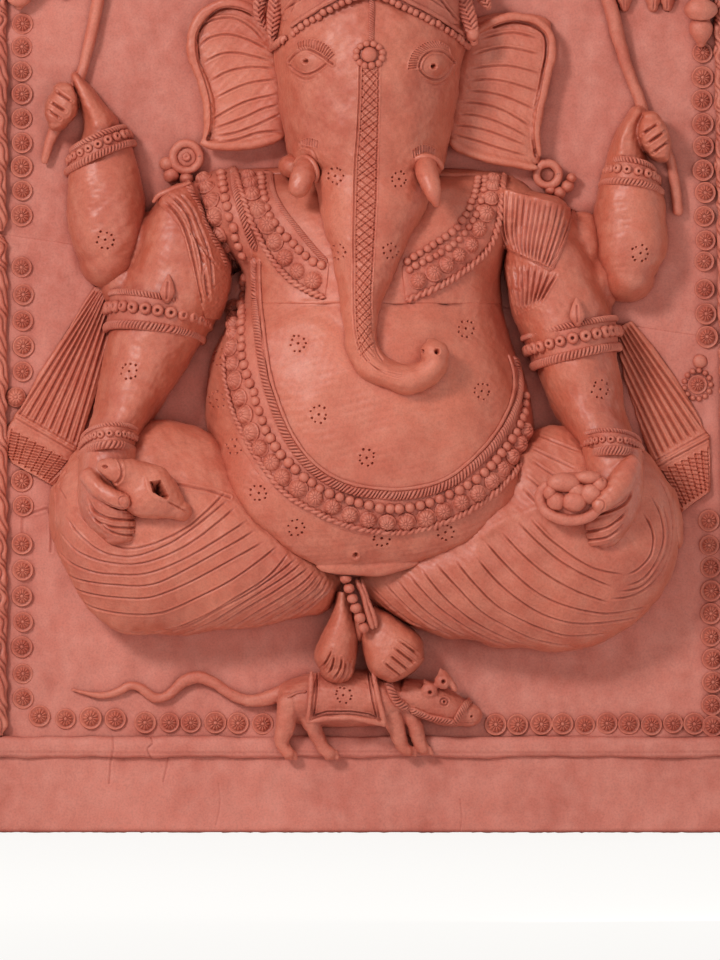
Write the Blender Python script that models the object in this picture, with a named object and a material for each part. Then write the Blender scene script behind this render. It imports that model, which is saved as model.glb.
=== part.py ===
"""Terracotta wall panel: a seated, four-armed Ganesha in high relief, built of luted clay pieces.

Places are millimetres on a plan of the panel: x to the viewer's right of the centre line, z above
the bottom edge, depth forward of the slab's face. The plan stretches to the panel's width and
height. The model is in metres; its origin is on the back face, HANG_HEIGHT above the bottom edge,
and the panel faces -Y."""

import math

import bmesh
import bpy
from mathutils import Vector
from mathutils.bvhtree import BVHTree

# Panel
MM = 0.001
HALF_WIDTH = 446
PANEL_HEIGHT = 1290
PLAN_CORNER = (446, 1290)
RIGHT_SPLAY = 16
ARCH_RISE = 240
SLAB_THICKNESS = 22
HANG_HEIGHT = 600
SEAM_LEFT = 721
SEAM_RIGHT = 589
SEAM_FIGURE = 635
GAP = 0.3
EMBED = 5

# Border
RIDGE_BOTTOM = 91
RIDGE_TOP = 116
RIDGE_DEPTH = 10
ROPE_RADIUS = 10
ROPE_INSET = 12.5
ROSETTE_RADIUS = 13
ROSETTE_DEPTH = 5.5
LEFT_COLUMN_INSET = 40
RIGHT_COLUMN_INSET = 36.5
LEFT_PITCH = 30.5
RIGHT_PITCH = 28
BASE_PITCH = 27
ARCH_BED_INSET = 58
ARCH_BED_DEPTH = 4
ARCH_STEPS = 18
SLIP_WIDTH = 9
SLIP_DEPTH = 1.6

# Figure
WALL = 14
VENT_RADIUS = 14
BELLY_DEPTH = 154
LEG_DEPTH = 124
HEAD_DEPTH = 138
REAR_ARM_DEPTH = 66
FRONT_ARM_DEPTH = 94
TRUNK_THICKNESS = 34
EAR_DEPTH = 34
GARLAND_PROUD = 11
COLLAR_PROUD = 11
ARMLET_PROUD = 9
CLOTH_PROUD = 7
SASH_DEPTH = 8
STAFF_DEPTH = 17
HAND_THICKNESS = 36
FOOT_DEPTH = 78
MOUSE_DEPTH = 50

SPRINGING = PLAN_CORNER[1] - ARCH_RISE
PALE_CLAY = (0.60, 0.235, 0.18, 1)
SKIN_CLAY = (0.57, 0.175, 0.12, 1)
TRIM_CLAY = (0.55, 0.185, 0.13, 1)

placed = {}
raws = {}
cutters = {}


def at(x, z, depth):
    """The point of the model at a place on the plan."""
    wide, high = HALF_WIDTH / PLAN_CORNER[0], PANEL_HEIGHT / PLAN_CORNER[1]
    return Vector((x * wide, -(SLAB_THICKNESS + depth), z * high - HANG_HEIGHT)) * MM


def clay(name, colour, roughness=0.72):
    material = bpy.data.materials.get(name)
    if material is None:
        material = bpy.data.materials.new(name)
        material.use_nodes = True
        shader = material.node_tree.nodes["Principled BSDF"]
        shader.inputs["Base Color"].default_value = colour
        shader.inputs["Roughness"].default_value = roughness
        shader.inputs["Metallic"].default_value = 0
    return material


def mesh_object(name, bm):
    """A linked object from a closed bmesh, its faces turned outwards."""
    bmesh.ops.triangulate(bm, faces=bm.faces)
    bmesh.ops.recalc_face_normals(bm, faces=bm.faces)
    if bm.calc_volume(signed=True) < 0:
        bmesh.ops.reverse_faces(bm, faces=bm.faces)
    mesh = bpy.data.meshes.new(name)
    bm.to_mesh(mesh)
    bm.free()
    obj = bpy.data.objects.new(name, mesh)
    bpy.context.scene.collection.objects.link(obj)
    return obj


def make_guide(obj):
    obj.hide_render = True
    obj.display_type = "WIRE"


def edge_x(side, z):
    """The slab's left (-1) or right (1) edge at a height; the right one leans out downwards."""
    return side * PLAN_CORNER[0] + max(side, 0) * RIGHT_SPLAY * max(0, 1 - z / SPRINGING)


def arch_points(inset, steps):
    """Points along the arched top edge, moved inwards by the inset, from left to right."""
    half_width, height = PLAN_CORNER
    radius = (half_width**2 + ARCH_RISE**2) / (2 * ARCH_RISE)
    centre = height - radius
    half_angle = math.asin(half_width / radius)
    angles = [half_angle * (2 * i / steps - 1) for i in range(steps + 1)]
    reach = radius - inset
    return [(reach * math.sin(a), centre + reach * math.cos(a)) for a in angles]


def power(value, exponent):
    return math.copysign(abs(value) ** exponent, value)


def ring_d(a, b, base, crest, sides, tuck, fullness, bow=0):
    """A D-shaped section from edge a to edge b, flat at the base; tuck rolls its edges under,
    and bow lifts its crest up the panel."""
    low = math.radians(tuck)
    points = []
    for i in range(sides + 1):
        angle = -low + (math.pi + 2 * low) * i / sides
        along = power(math.cos(angle), 2 / fullness)
        up = (power(math.sin(angle), 2 / fullness) + math.sin(low)) / (1 + math.sin(low))
        points.append(((1 + along) / 2, base + (crest - base) * up))
    rise = [bow * (d - base) / (crest - base) for _, d in points]
    return [
        at(b[0] + (a[0] - b[0]) * s, b[1] + (a[1] - b[1]) * s + lift, d)
        for (s, d), lift in zip(points, rise)
    ]


def ring_round(a, b, base, crest, sides):
    """A full ellipse between edges a and b."""
    middle, half = (base + crest) / 2, (crest - base) / 2
    points = []
    for i in range(sides):
        angle = 2 * math.pi * i / sides
        s = (1 + math.cos(angle)) / 2
        place = (b[0] + (a[0] - b[0]) * s, b[1] + (a[1] - b[1]) * s)
        points.append(at(*place, middle + half * math.sin(angle)))
    return points


def between(p, q, t):
    return tuple(p[i] + (q[i] - p[i]) * t for i in range(len(p)))


def with_caps(stations, start, end, angles=(40, 74)):
    """Stations with rounded ends that close towards the start and end points, where given."""
    rounded = list(stations)
    for pole, where in ((start, 0), (end, -1)):
        if pole is None:
            continue
        a, b, base, crest = stations[where]
        middle = between(a, b, 0.5)
        caps = []
        for angle in angles:
            shift, shrink = math.sin(math.radians(angle)), math.cos(math.radians(angle))
            centre = between(middle, pole, shift)
            new_a = tuple(centre[i] + (a[i] - middle[i]) * shrink for i in (0, 1))
            new_b = tuple(centre[i] + (b[i] - middle[i]) * shrink for i in (0, 1))
            caps.append((new_a, new_b, base, base + (crest - base) * max(shrink, 0.3)))
        rounded = caps[::-1] + rounded if where == 0 else rounded + caps
    return rounded


def skin(rings):
    """A closed bmesh through rings of equal length, each a closed loop, with flat ends."""
    bm = bmesh.new()
    loops = [[bm.verts.new(p) for p in ring] for ring in rings]
    count = len(rings[0])
    for near, far in zip(loops, loops[1:]):
        for j in range(count):
            k = (j + 1) % count
            bm.faces.new((near[j], near[k], far[k], far[j]))
    bm.faces.new(loops[0][::-1])
    bm.faces.new(loops[-1])
    return bm


def loft(stations, sides=8, tuck=0, fullness=2.0, rounded=False, start=None, end=None, bow=0):
    """Stations are (edge a, edge b, base depth, crest depth)."""
    rings = []
    for a, b, base, crest in with_caps(stations, start, end):
        if rounded:
            rings.append(ring_round(a, b, base, crest, sides))
        else:
            rings.append(ring_d(a, b, base, crest, sides, tuck, fullness, bow))
    return skin(rings)


def relief(rows, top, base=GAP):
    """Stations from rows of (ax, az, bx, bz, share of the top depth)."""
    return [((ax, az), (bx, bz), base, top * share) for ax, az, bx, bz, share in rows]


def inset(stations, wall):
    """The stations of the hollow inside a form, open at the back."""
    inner = []
    for a, b, base, crest in stations:
        length = math.dist(a, b)
        share = min(wall / length, 0.45)
        inner.append((between(a, b, share), between(b, a, share), base - 8, crest - wall))
    return inner


def tube_stations(points, radius, base, crest):
    """Stations across a line of points, with a half-width at each, square to the line."""
    stations = []
    for i, point in enumerate(points):
        before, after = points[max(i - 1, 0)], points[min(i + 1, len(points) - 1)]
        length = math.dist(before, after)
        across = ((before[1] - after[1]) / length, (after[0] - before[0]) / length)
        reach = radius[i] if isinstance(radius, (list, tuple)) else radius
        low = base[i] if isinstance(base, (list, tuple)) else base
        top = crest[i] if isinstance(crest, (list, tuple)) else crest
        a = (point[0] + across[0] * reach, point[1] + across[1] * reach)
        b = (point[0] - across[0] * reach, point[1] - across[1] * reach)
        stations.append((a, b, low, top))
    return stations


def surface(x, z, hosts):
    """How far the hosts' fronts stand forward of the slab at a place, or 0 on bare slab."""
    deepest = 0
    origin = at(x, z, 400)
    for host in hosts:
        hit = raws[host].ray_cast(origin, Vector((0, 1, 0)))[0]
        if hit is not None:
            deepest = max(deepest, -hit.y / MM - SLAB_THICKNESS)
    return deepest


def draped(rows, hosts, proud, sides=5, below=EMBED, start=None, end=None):
    """A band that follows the hosts' fronts and bridges their hollows, from rows of
    (ax, az, bx, bz)."""
    rows = [((ax, az), (bx, bz), 0, proud) for ax, az, bx, bz in rows]
    rings = []
    for a, b, _, height in with_caps(rows, start, end, (45, 78)):
        depth_a, depth_b = surface(*a, hosts), surface(*b, hosts)
        shares = [(1 + math.cos(math.pi * i / sides)) / 2 for i in range(sides + 1)]
        bulge = 0
        for share in shares[1:-1]:
            chord = depth_b + (depth_a - depth_b) * share
            bulge = max(bulge, surface(*between(b, a, share), hosts) - chord)
        ring = []
        for i, share in enumerate(shares):
            round_up = math.sin(math.pi * i / sides) ** 0.6 if 0 < i < sides else 0
            chord = depth_b + (depth_a - depth_b) * share
            lift = height * 0.3 + (bulge + height * 0.7) * round_up
            ring.append(at(*between(b, a, share), chord + lift))
        for share in (0, 1):
            chord = depth_b + (depth_a - depth_b) * share
            ring.append(at(*between(b, a, share), max(chord - below, GAP)))
        rings.append(ring)
    return skin(rings)


def wrapped(rows, proud, sides=8, bow=0):
    """A ring of clay round the front of an arm, from rows of its edges and crest."""
    stations = []
    for ax, az, bx, bz, crest in rows:
        length = math.dist((ax, az), (bx, bz))
        share = proud / length
        a, b = (ax, az), (bx, bz)
        stations.append((between(a, b, -share), between(b, a, -share), GAP, crest + proud))
    return loft(stations, sides, 10, bow=bow)


def plate(outline, back, front):
    """A flat plate with the given outline on the panel."""
    bm = bmesh.new()
    face = bm.faces.new([bm.verts.new(at(x, z, back)) for x, z in outline])
    made = bmesh.ops.extrude_face_region(bm, geom=[face])["geom"]
    shift = at(0, 0, front) - at(0, 0, back)
    bmesh.ops.translate(bm, vec=shift, verts=[v for v in made if isinstance(v, bmesh.types.BMVert)])
    return bm


def disc(x, z, radius, back, front, sides, edge=2.5):
    """A round button whose front edge is chamfered."""
    rings = []
    for reach, depth in ((radius, back), (radius, front - edge * 0.6), (radius - edge, front)):
        angles = [2 * math.pi * (i + 0.5) / sides for i in range(sides)]
        ring = [at(x + reach * math.cos(t), z + reach * math.sin(t), depth) for t in angles]
        rings.append(ring)
    return skin(rings)


def apply_modifiers(obj):
    depsgraph = bpy.context.evaluated_depsgraph_get()
    mesh = bpy.data.meshes.new_from_object(obj.evaluated_get(depsgraph))
    obj.modifiers.clear()
    old = obj.data
    obj.data = mesh
    bpy.data.meshes.remove(old)


def keep_main_body(obj):
    """Clears away the crumbs that a cut leaves behind a piece."""
    bm = bmesh.new()
    bm.from_mesh(obj.data)
    bodies, seen = [], set()
    for first in bm.verts:
        if first in seen:
            continue
        body, stack = [], [first]
        seen.add(first)
        while stack:
            vert = stack.pop()
            body.append(vert)
            for edge in vert.link_edges:
                other = edge.other_vert(vert)
                if other not in seen:
                    seen.add(other)
                    stack.append(other)
        bodies.append(body)
    if len(bodies) > 1:
        spans = []
        for body in bodies:
            size = [max(v.co[i] for v in body) - min(v.co[i] for v in body) for i in range(3)]
            spans.append(size[0] * size[1] * size[2])
        main = spans.index(max(spans))
        crumbs = [v for i, body in enumerate(bodies) if i != main for v in body]
        bmesh.ops.delete(bm, geom=crumbs, context="VERTS")
    bmesh.ops.triangulate(bm, faces=bm.faces)
    bm.to_mesh(obj.data)
    bm.free()


def near(first, second, margin=0.002):
    """Whether the boxes of two objects, given as corner pairs, come close."""
    return all(
        first[0][i] - margin < second[1][i] and second[0][i] - margin < first[1][i]
        for i in range(3)
    )


def box_of(obj):
    corners = [v.co for v in obj.data.vertices]
    low = [min(c[i] for c in corners) for i in range(3)]
    high = [max(c[i] for c in corners) for i in range(3)]
    return low, high


def boolean(obj, other, operation):
    modifier = obj.modifiers.new(operation.title(), "BOOLEAN")
    modifier.operation = operation
    modifier.object = other
    modifier.solver = "EXACT"


def clearance_of(obj):
    """A guide grown outwards from the object by the gap, to cut later pieces with."""
    guide = bpy.data.objects.new(obj.name + "_clearance", obj.data.copy())
    bpy.context.scene.collection.objects.link(guide)
    guide.data.update()
    normals = [v.normal.copy() for v in guide.data.vertices]
    for vert, normal in zip(guide.data.vertices, normals):
        vert.co += normal * GAP * 1.5 * MM
    make_guide(guide)
    return guide


def joined(name, parts):
    """One body from overlapping shapes."""
    first = mesh_object(name, parts[0])
    others = [mesh_object(f"{name}_part_{i}", part) for i, part in enumerate(parts[1:])]
    for other in others:
        make_guide(other)
        boolean(first, other, "UNION")
    apply_modifiers(first)
    for other in others:
        bpy.data.objects.remove(other)
    return first


def place(name, form, colour=SKIN_CLAY, hollow=None, clearance=None):
    """Adds a piece: cut back by the pieces already there, then hollowed if it is a shell."""
    obj = joined(name, form) if isinstance(form, list) else mesh_object(name, form)
    raw = bmesh.new()
    raw.from_mesh(obj.data)
    raws[name] = BVHTree.FromBMesh(raw)
    raw.free()
    if clearance is None:
        guide = clearance_of(obj)
    else:
        guide = mesh_object(name + "_clearance", clearance)
        make_guide(guide)
    box = box_of(obj)
    for other_box, other_guide in cutters.values():
        if near(box, other_box):
            boolean(obj, other_guide, "DIFFERENCE")
    hole = None
    if hollow is not None:
        hole = mesh_object(name + "_hollow", hollow)
        make_guide(hole)
        boolean(obj, hole, "DIFFERENCE")
    apply_modifiers(obj)
    keep_main_body(obj)
    if hole is not None:
        bpy.data.objects.remove(hole)
    cutters[name] = (box, guide)
    finish(obj, colour)
    placed[name] = obj
    return obj


def finish(obj, colour):
    obj.data.materials.clear()
    obj.data.materials.append(clay(obj.name + "_clay", colour))
    obj.data.shade_smooth()
    obj.data.set_sharp_from_angle(angle=math.radians(40))


# The slab's two sections, their joint slanting down to the right

VENTS = {"upper": [(10, 880), (0, 715)], "lower": [(70, 470), (-230, 380), (250, 370)]}


def vent_holes(obj, places):
    for x, z in places:
        drill = mesh_object("vent_drill", disc(x, z, VENT_RADIUS, -2 * SLAB_THICKNESS, 10, 12))
        make_guide(drill)
        boolean(obj, drill, "DIFFERENCE")
        apply_modifiers(obj)
        bpy.data.objects.remove(drill)


def slab_sections():
    left, right_top = edge_x(-1, 0), edge_x(1, SEAM_RIGHT)
    half = GAP / 2
    lower = [
        (left, 0),
        (edge_x(1, 0), 0),
        (right_top, SEAM_RIGHT - half),
        (left, SEAM_LEFT - half),
    ]
    upper = [(left, SEAM_LEFT + half), (right_top, SEAM_RIGHT + half)]
    upper += arch_points(0, 20)[::-1]
    for name, outline in (("slab_lower", lower), ("slab_upper", upper)):
        obj = mesh_object(name, plate(outline, -SLAB_THICKNESS, 0))
        vent_holes(obj, VENTS[name.split("_")[1]])
        finish(obj, PALE_CLAY)
        placed[name] = obj


def border():
    left, right = edge_x(-1, 0), edge_x(1, RIDGE_BOTTOM)
    across = [
        ((left, RIDGE_TOP), (left, RIDGE_BOTTOM), GAP, RIDGE_DEPTH),
        ((right, RIDGE_TOP), (right, RIDGE_BOTTOM), GAP, RIDGE_DEPTH),
    ]
    place("base_ridge", loft(across, 6), PALE_CLAY)
    for side, word, seam in ((-1, "left", SEAM_LEFT), (1, "right", SEAM_RIGHT)):
        spans = {
            "lower": (RIDGE_TOP + GAP, seam - GAP),
            "upper": (seam + GAP, SPRINGING - 1.5 * ROPE_RADIUS),
        }
        for section, (low, high) in spans.items():
            line = [(edge_x(side, z) - side * ROPE_INSET, z) for z in (low, high)]
            form = loft(tube_stations(line, ROPE_RADIUS, GAP, ROPE_RADIUS + GAP), 6, 15)
            place(f"rope_{word}_{section}", form, TRIM_CLAY)
    profile = [
        (ROPE_INSET - ROPE_RADIUS, GAP),
        (ROPE_INSET - ROPE_RADIUS * 0.8, ROPE_RADIUS * 0.65),
        (ROPE_INSET - ROPE_RADIUS * 0.3, ROPE_RADIUS),
        (ROPE_INSET + ROPE_RADIUS * 0.3, ROPE_RADIUS),
        (ROPE_INSET + ROPE_RADIUS * 0.8, ROPE_RADIUS * 0.65),
        (ROPE_INSET + ROPE_RADIUS, ARCH_BED_DEPTH),
        (ARCH_BED_INSET - 1, ARCH_BED_DEPTH),
        (ARCH_BED_INSET, GAP),
    ]
    lines = [(arch_points(depth_in, ARCH_STEPS), height) for depth_in, height in profile]
    rings = [[at(*line[i], height) for line, height in lines] for i in range(ARCH_STEPS + 1)]
    place("arch_border", skin(rings), TRIM_CLAY)


# Runs of buttons up the side columns as (first height, last height)
LEFT_UPPER = [(972, 742)]
LEFT_LOWER = [(678, 523), (424, 392), (347, 160)]
RIGHT_UPPER = [(935, 712), (685, 623)]
RIGHT_LOWER = [(575, 538), (374, 127)]
# Runs of buttons along the base as (first place, last place)
BASE_LEFT = [((-384, 139), (-293, 136)), ((-258, 133), (-118, 132))]
BASE_RIGHT = [((164, 131), (402, 131))]


def evenly(first, last, pitch):
    steps = max(1, round(math.dist(first, last) / pitch))
    return [between(first, last, i / steps) for i in range(steps + 1)]


def column(side, runs):
    column_inset = LEFT_COLUMN_INSET if side < 0 else RIGHT_COLUMN_INSET
    pitch = LEFT_PITCH if side < 0 else RIGHT_PITCH
    places = []
    for first, last in runs:
        for (z,) in evenly((first,), (last,), pitch):
            places.append((edge_x(side, z) - side * column_inset, z))
    return places


def rosette_rings(places, grown):
    """Sections along a row of eight-sided buttons and the thin bed of slip that they sit on."""
    corner = math.tan(math.pi / 8)
    profile = [(-1.02, 0), (-1, corner), (-corner, 1), (corner, 1), (1, corner), (1.02, 0)]
    radius = ROSETTE_RADIUS + grown
    rings = []
    for i, (x, z) in enumerate(places):
        before, after = places[max(i - 1, 0)], places[min(i + 1, len(places) - 1)]
        length = math.dist(before, after)
        ux, uz = (after[0] - before[0]) / length, (after[1] - before[1]) / length
        for share_along, share_across in profile:
            on_disc = share_across > 0
            reach = radius * share_across if on_disc else SLIP_WIDTH / 2 + grown
            top = (ROSETTE_DEPTH if on_disc else SLIP_DEPTH) + grown
            flat = max(reach - 2, reach * 0.6)
            cx, cz = x + ux * share_along * radius, z + uz * share_along * radius
            corners = ((-reach, GAP - grown), (-flat, top), (flat, top), (reach, GAP - grown))
            rings.append([at(cx - uz * w, cz + ux * w, d) for w, d in corners])
    return skin(rings)


def rosette_row(name, places):
    form = rosette_rings(places, 0)
    place(name, form, TRIM_CLAY, clearance=rosette_rings(places, 2 * GAP))


def rosettes():
    rosette_row("rosettes_left_upper", column(-1, LEFT_UPPER))
    rosette_row("rosettes_left_lower", column(-1, LEFT_LOWER))
    rosette_row("rosettes_right_upper", column(1, RIGHT_UPPER))
    rosette_row("rosettes_right_lower", column(1, RIGHT_LOWER))
    for name, runs in (("rosettes_base_left", BASE_LEFT), ("rosettes_base_right", BASE_RIGHT)):
        rosette_row(name, [place for run in runs for place in evenly(*run, BASE_PITCH)])


# Torso from the shoulders down: (left x, left z, right x, right z, share of the full depth)
TORSO = [
    (-185, 792, 182, 790, 0.41),
    (-190, 762, 186, 765, 0.52),
    (-165, 730, 176, 735, 0.61),
    (-142, 700, 168, 704, 0.68),
    (-136, 670, 167, 670, 0.73),
    (-140, 635, 170, 635, 0.77),
    (-164, 600, 177, 600, 0.86),
    (-179, 560, 191, 563, 0.93),
    (-185, 520, 204, 523, 0.98),
    (-180, 478, 208, 480, 1.0),
    (-163, 430, 197, 430, 0.98),
    (-133, 385, 172, 385, 0.90),
    (-95, 348, 130, 350, 0.74),
    (-50, 322, 70, 326, 0.50),
]
NECK = (0, 822)
TORSO_NODES = ["chest", "belly"]
LAP = (6, 309)


def sawn(rows, height, gap):
    """The rows above and below a level cut, each with a new row half a gap from it."""
    halves = []
    for side in (1, -1):
        level = height + side * gap / 2
        kept = [row for row in rows if (min(row[1], row[3]) - level) * side > 4]
        above = [row for row in rows if row[1] > level][-1]
        below = [row for row in rows if row[1] <= level][0]
        share = (level - below[1]) / (above[1] - below[1])
        new = between(below, above, share)
        cut = (new[0], level, new[2], level, new[4])
        halves.append(kept + [cut] if side > 0 else [cut] + kept)
    return halves


def hollow_of(rows, top, start=None, end=None, sides=8):
    return loft(inset(relief(rows, top), WALL), sides, start=start, end=end)


def torso():
    upper, lower = sawn(TORSO, SEAM_FIGURE, GAP)
    form = loft(relief(lower, BELLY_DEPTH), 12, fullness=2.3, end=LAP)
    place("belly", form, hollow=hollow_of(lower[1:], BELLY_DEPTH))
    form = loft(relief(upper, BELLY_DEPTH), 10, fullness=2.3, start=NECK)
    place("chest", form, hollow=hollow_of(upper[:-1], BELLY_DEPTH, sides=6))


# Legs, from the lap out to the knee: (upper x, upper z, lower x, lower z, share)
LEG_LEFT = [
    (-22, 312, -24, 296, 0.45),
    (-40, 345, -40, 268, 0.66),
    (-80, 390, -78, 258, 0.84),
    (-130, 440, -130, 247, 0.95),
    (-180, 480, -198, 240, 1.0),
    (-225, 495, -250, 238, 1.0),
    (-262, 495, -290, 243, 0.97),
    (-308, 480, -325, 268, 0.90),
    (-342, 455, -350, 312, 0.77),
    (-364, 420, -364, 350, 0.56),
]
LEG_RIGHT = [
    (0, 312, 2, 296, 0.45),
    (25, 340, 28, 264, 0.66),
    (75, 380, 83, 240, 0.84),
    (130, 430, 138, 229, 0.95),
    (180, 470, 193, 221, 1.0),
    (225, 487, 248, 218, 1.0),
    (265, 488, 290, 228, 0.97),
    (312, 475, 335, 257, 0.90),
    (350, 450, 366, 295, 0.77),
    (373, 415, 381, 342, 0.56),
]


KNEES = [(-372, 386), (386, 376)]


def legs():
    for word, rows, knee in (("left", LEG_LEFT, KNEES[0]), ("right", LEG_RIGHT, KNEES[1])):
        form = loft(relief(rows, LEG_DEPTH), 9, 26, end=knee)
        hollow = hollow_of(rows[3:-1], LEG_DEPTH, sides=6)
        place(f"leg_{word}", form, hollow=hollow)


# Arms: (outer x, outer z, inner x, inner z, share)
REAR_ARM_LEFT = [
    (-336, 686, -268, 690, 0.92),
    (-347, 715, -260, 715, 1.0),
    (-350, 755, -258, 755, 1.0),
    (-350, 790, -266, 795, 0.92),
    (-343, 818, -274, 828, 0.80),
    (-334, 846, -290, 848, 0.68),
]
REAR_ARM_RIGHT = [
    (289, 668, 354, 668, 0.92),
    (281, 700, 368, 700, 1.0),
    (280, 740, 368, 738, 1.0),
    (286, 775, 363, 772, 0.92),
    (293, 803, 352, 797, 0.80),
    (300, 830, 346, 822, 0.68),
]
FRONT_ARM_LEFT = [
    (-250, 750, -192, 772, 0.72),
    (-262, 722, -180, 738, 0.86),
    (-272, 690, -170, 700, 0.94),
    (-288, 655, -170, 648, 0.98),
    (-299, 622, -181, 603, 1.0),
    (-304, 590, -199, 572, 1.02),
    (-311, 550, -217, 543, 1.06),
    (-319, 510, -242, 507, 1.16),
    (-330, 472, -262, 472, 1.34),
    (-336, 446, -267, 450, 1.44),
]
FRONT_ARM_RIGHT = [
    (194, 768, 250, 750, 0.72),
    (180, 732, 263, 722, 0.86),
    (178, 692, 282, 680, 0.94),
    (192, 640, 298, 640, 0.98),
    (207, 592, 306, 605, 1.0),
    (224, 552, 309, 570, 1.02),
    (236, 508, 316, 520, 1.06),
    (254, 470, 325, 482, 1.26),
    (267, 446, 338, 450, 1.44),
]


ELBOWS = [(-301, 653), (320, 636)]
SHOULDER_TOPS = [(-216, 786), (228, 782)]


def arms():
    for word, rows, pole in (
        ("left", REAR_ARM_LEFT, ELBOWS[0]),
        ("right", REAR_ARM_RIGHT, ELBOWS[1]),
    ):
        form = loft(relief(rows, REAR_ARM_DEPTH), 8, 12, start=pole)
        place(f"rear_arm_{word}", form)
    for word, rows, pole in (
        ("left", FRONT_ARM_LEFT, SHOULDER_TOPS[0]),
        ("right", FRONT_ARM_RIGHT, SHOULDER_TOPS[1]),
    ):
        form = loft(relief(rows, FRONT_ARM_DEPTH), 8, 10, start=pole)
        place(f"front_arm_{word}", form)


# Head, from the crown's edge down to the mouth
HEAD = [
    (-104, 1004, 126, 1004, 0.86),
    (-107, 960, 131, 960, 0.94),
    (-103, 920, 123, 920, 0.99),
    (-98, 880, 117, 880, 1.0),
    (-94, 845, 112, 845, 1.0),
    (-86, 815, 105, 815, 0.98),
    (-66, 788, 95, 785, 0.95),
]
BROW = (11, 1040)
MOUTH = (14, 770)
# Trunk edges with the depth of its back
TRUNK = [
    (-60, 786, 90, 784, 60),
    (-51, 765, 82, 757, 70),
    (-46, 735, 68, 725, 80),
    (-37, 703, 55, 699, 88),
    (-31, 672, 42, 670, 96),
    (-25, 640, 28, 639, 106),
    (-21, 605, 21, 605, 122),
    (-17, 578, 24, 585, 130),
    (-6, 552, 32, 570, 136),
    (22, 534, 42, 565, 140),
    (57, 525, 56, 563, 142),
    (89, 535, 70, 567, 140),
    (106, 557, 77, 577, 138),
]
TRUNK_TIP = (92, 592)
TUSK_LEFT = [(-64, 802), (-70, 784), (-78, 766)]
TUSK_RIGHT = [(78, 812), (83, 790), (92, 756)]


def head_and_trunk():
    form = loft(relief(HEAD, HEAD_DEPTH), 10, fullness=2.3, start=BROW, end=MOUTH)
    place("head", form, hollow=hollow_of(HEAD[1:-1], HEAD_DEPTH, sides=6))
    rows = []
    for ax, az, bx, bz, back in TRUNK:
        upper = max(0, min(1, (az - 560) / 220))
        crest = back + TRUNK_THICKNESS + upper * (HEAD_DEPTH * 0.95 - 60 - TRUNK_THICKNESS)
        rows.append(((ax, az), (bx, bz), back - EMBED, crest))
    place("trunk", loft(rows, 9, 12, end=TRUNK_TIP))
    stump = tube_stations(TUSK_LEFT, [12, 13, 8], 84, [124, 128, 112])
    place("tusk_left", loft(stump, 8, rounded=True))
    tusk = tube_stations(TUSK_RIGHT, [14, 13, 6], [84, 92, 98], [124, 134, 124])
    place("tusk_right", loft(tusk, 8, rounded=True))


EAR_LEFT = [
    (-190, 983, -106, 985, 0.8),
    (-204, 955, -96, 955, 1.0),
    (-202, 925, -92, 925, 1.0),
    (-188, 893, -88, 893, 1.0),
    (-183, 860, -86, 860, 1.0),
    (-185, 822, -86, 836, 1.0),
]
EAR_RIGHT = [
    (130, 962, 228, 966, 0.8),
    (122, 936, 235, 938, 1.0),
    (112, 889, 226, 889, 1.0),
    (104, 850, 217, 848, 1.0),
    (104, 827, 218, 800, 1.0),
]


EAR_TOPS = [(-150, 1001), (188, 985)]
# Rings in the ears and the small balls under them: (x, z, radius)
EARRING_LEFT = [(-208, 812, 21), (-232, 805, 8), (-226, 791, 9), (-208, 787, 9)]
EARRING_RIGHT = [(228, 793, 20), (248, 783, 9), (243, 771, 9), (228, 770, 9)]


def ears():
    for word, rows, pole in (("left", EAR_LEFT, EAR_TOPS[0]), ("right", EAR_RIGHT, EAR_TOPS[1])):
        form = loft(relief(rows, EAR_DEPTH), 7, fullness=3.6, start=pole)
        place(f"ear_{word}", form)
    for word, discs in (("left", EARRING_LEFT), ("right", EARRING_RIGHT)):
        parts = []
        for i, (x, z, reach) in enumerate(discs):
            sides = 7 if i else 10
            parts.append(disc(x, z, reach, GAP + 0.3 * i, 20 - 1.3 * i, sides, 4 + 0.3 * i))
        place(f"earring_{word}", parts, TRIM_CLAY)


# Crown above the headband, seen only at its lower edge
CROWN = [
    (-108, 985, 132, 985, 1.0),
    (-112, 1020, 136, 1020, 0.98),
    (-104, 1060, 128, 1060, 0.92),
    (-84, 1078, 108, 1078, 0.82),
    (-78, 1110, 102, 1110, 0.74),
    (-54, 1128, 78, 1128, 0.62),
    (-46, 1160, 70, 1160, 0.52),
    (-24, 1176, 48, 1176, 0.40),
    (-18, 1200, 42, 1200, 0.32),
]
FINIAL = (12, 1222)
HEADBAND = [
    (-100, 966, -97, 940),
    (-80, 977, -72, 953),
    (-40, 996, -34, 972),
    (0, 1008, 2, 984),
    (24, 1008, 22, 984),
    (62, 996, 56, 972),
    (102, 975, 94, 952),
    (123, 964, 120, 938),
]
FOREHEAD_STRING = [(17, 940, 7, 940), (17, 995, 7, 995)]
MEDALLION = [(28, 931, -6, 931), (28, 933, -6, 933)]
MEDALLION_FOOT = (11, 916)
MEDALLION_HEAD = (11, 948)
TUFT_TIPS = [(-108, 948), (136, 944)]
TUFTS = [
    [(-112, 1000, -96, 1006, 0.34), (-118, 975, -100, 985, 0.5), (-114, 958, -102, 966, 0.42)],
    [(130, 1002, 156, 994, 0.34), (128, 980, 166, 976, 0.5), (128, 962, 152, 956, 0.42)],
]


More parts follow.
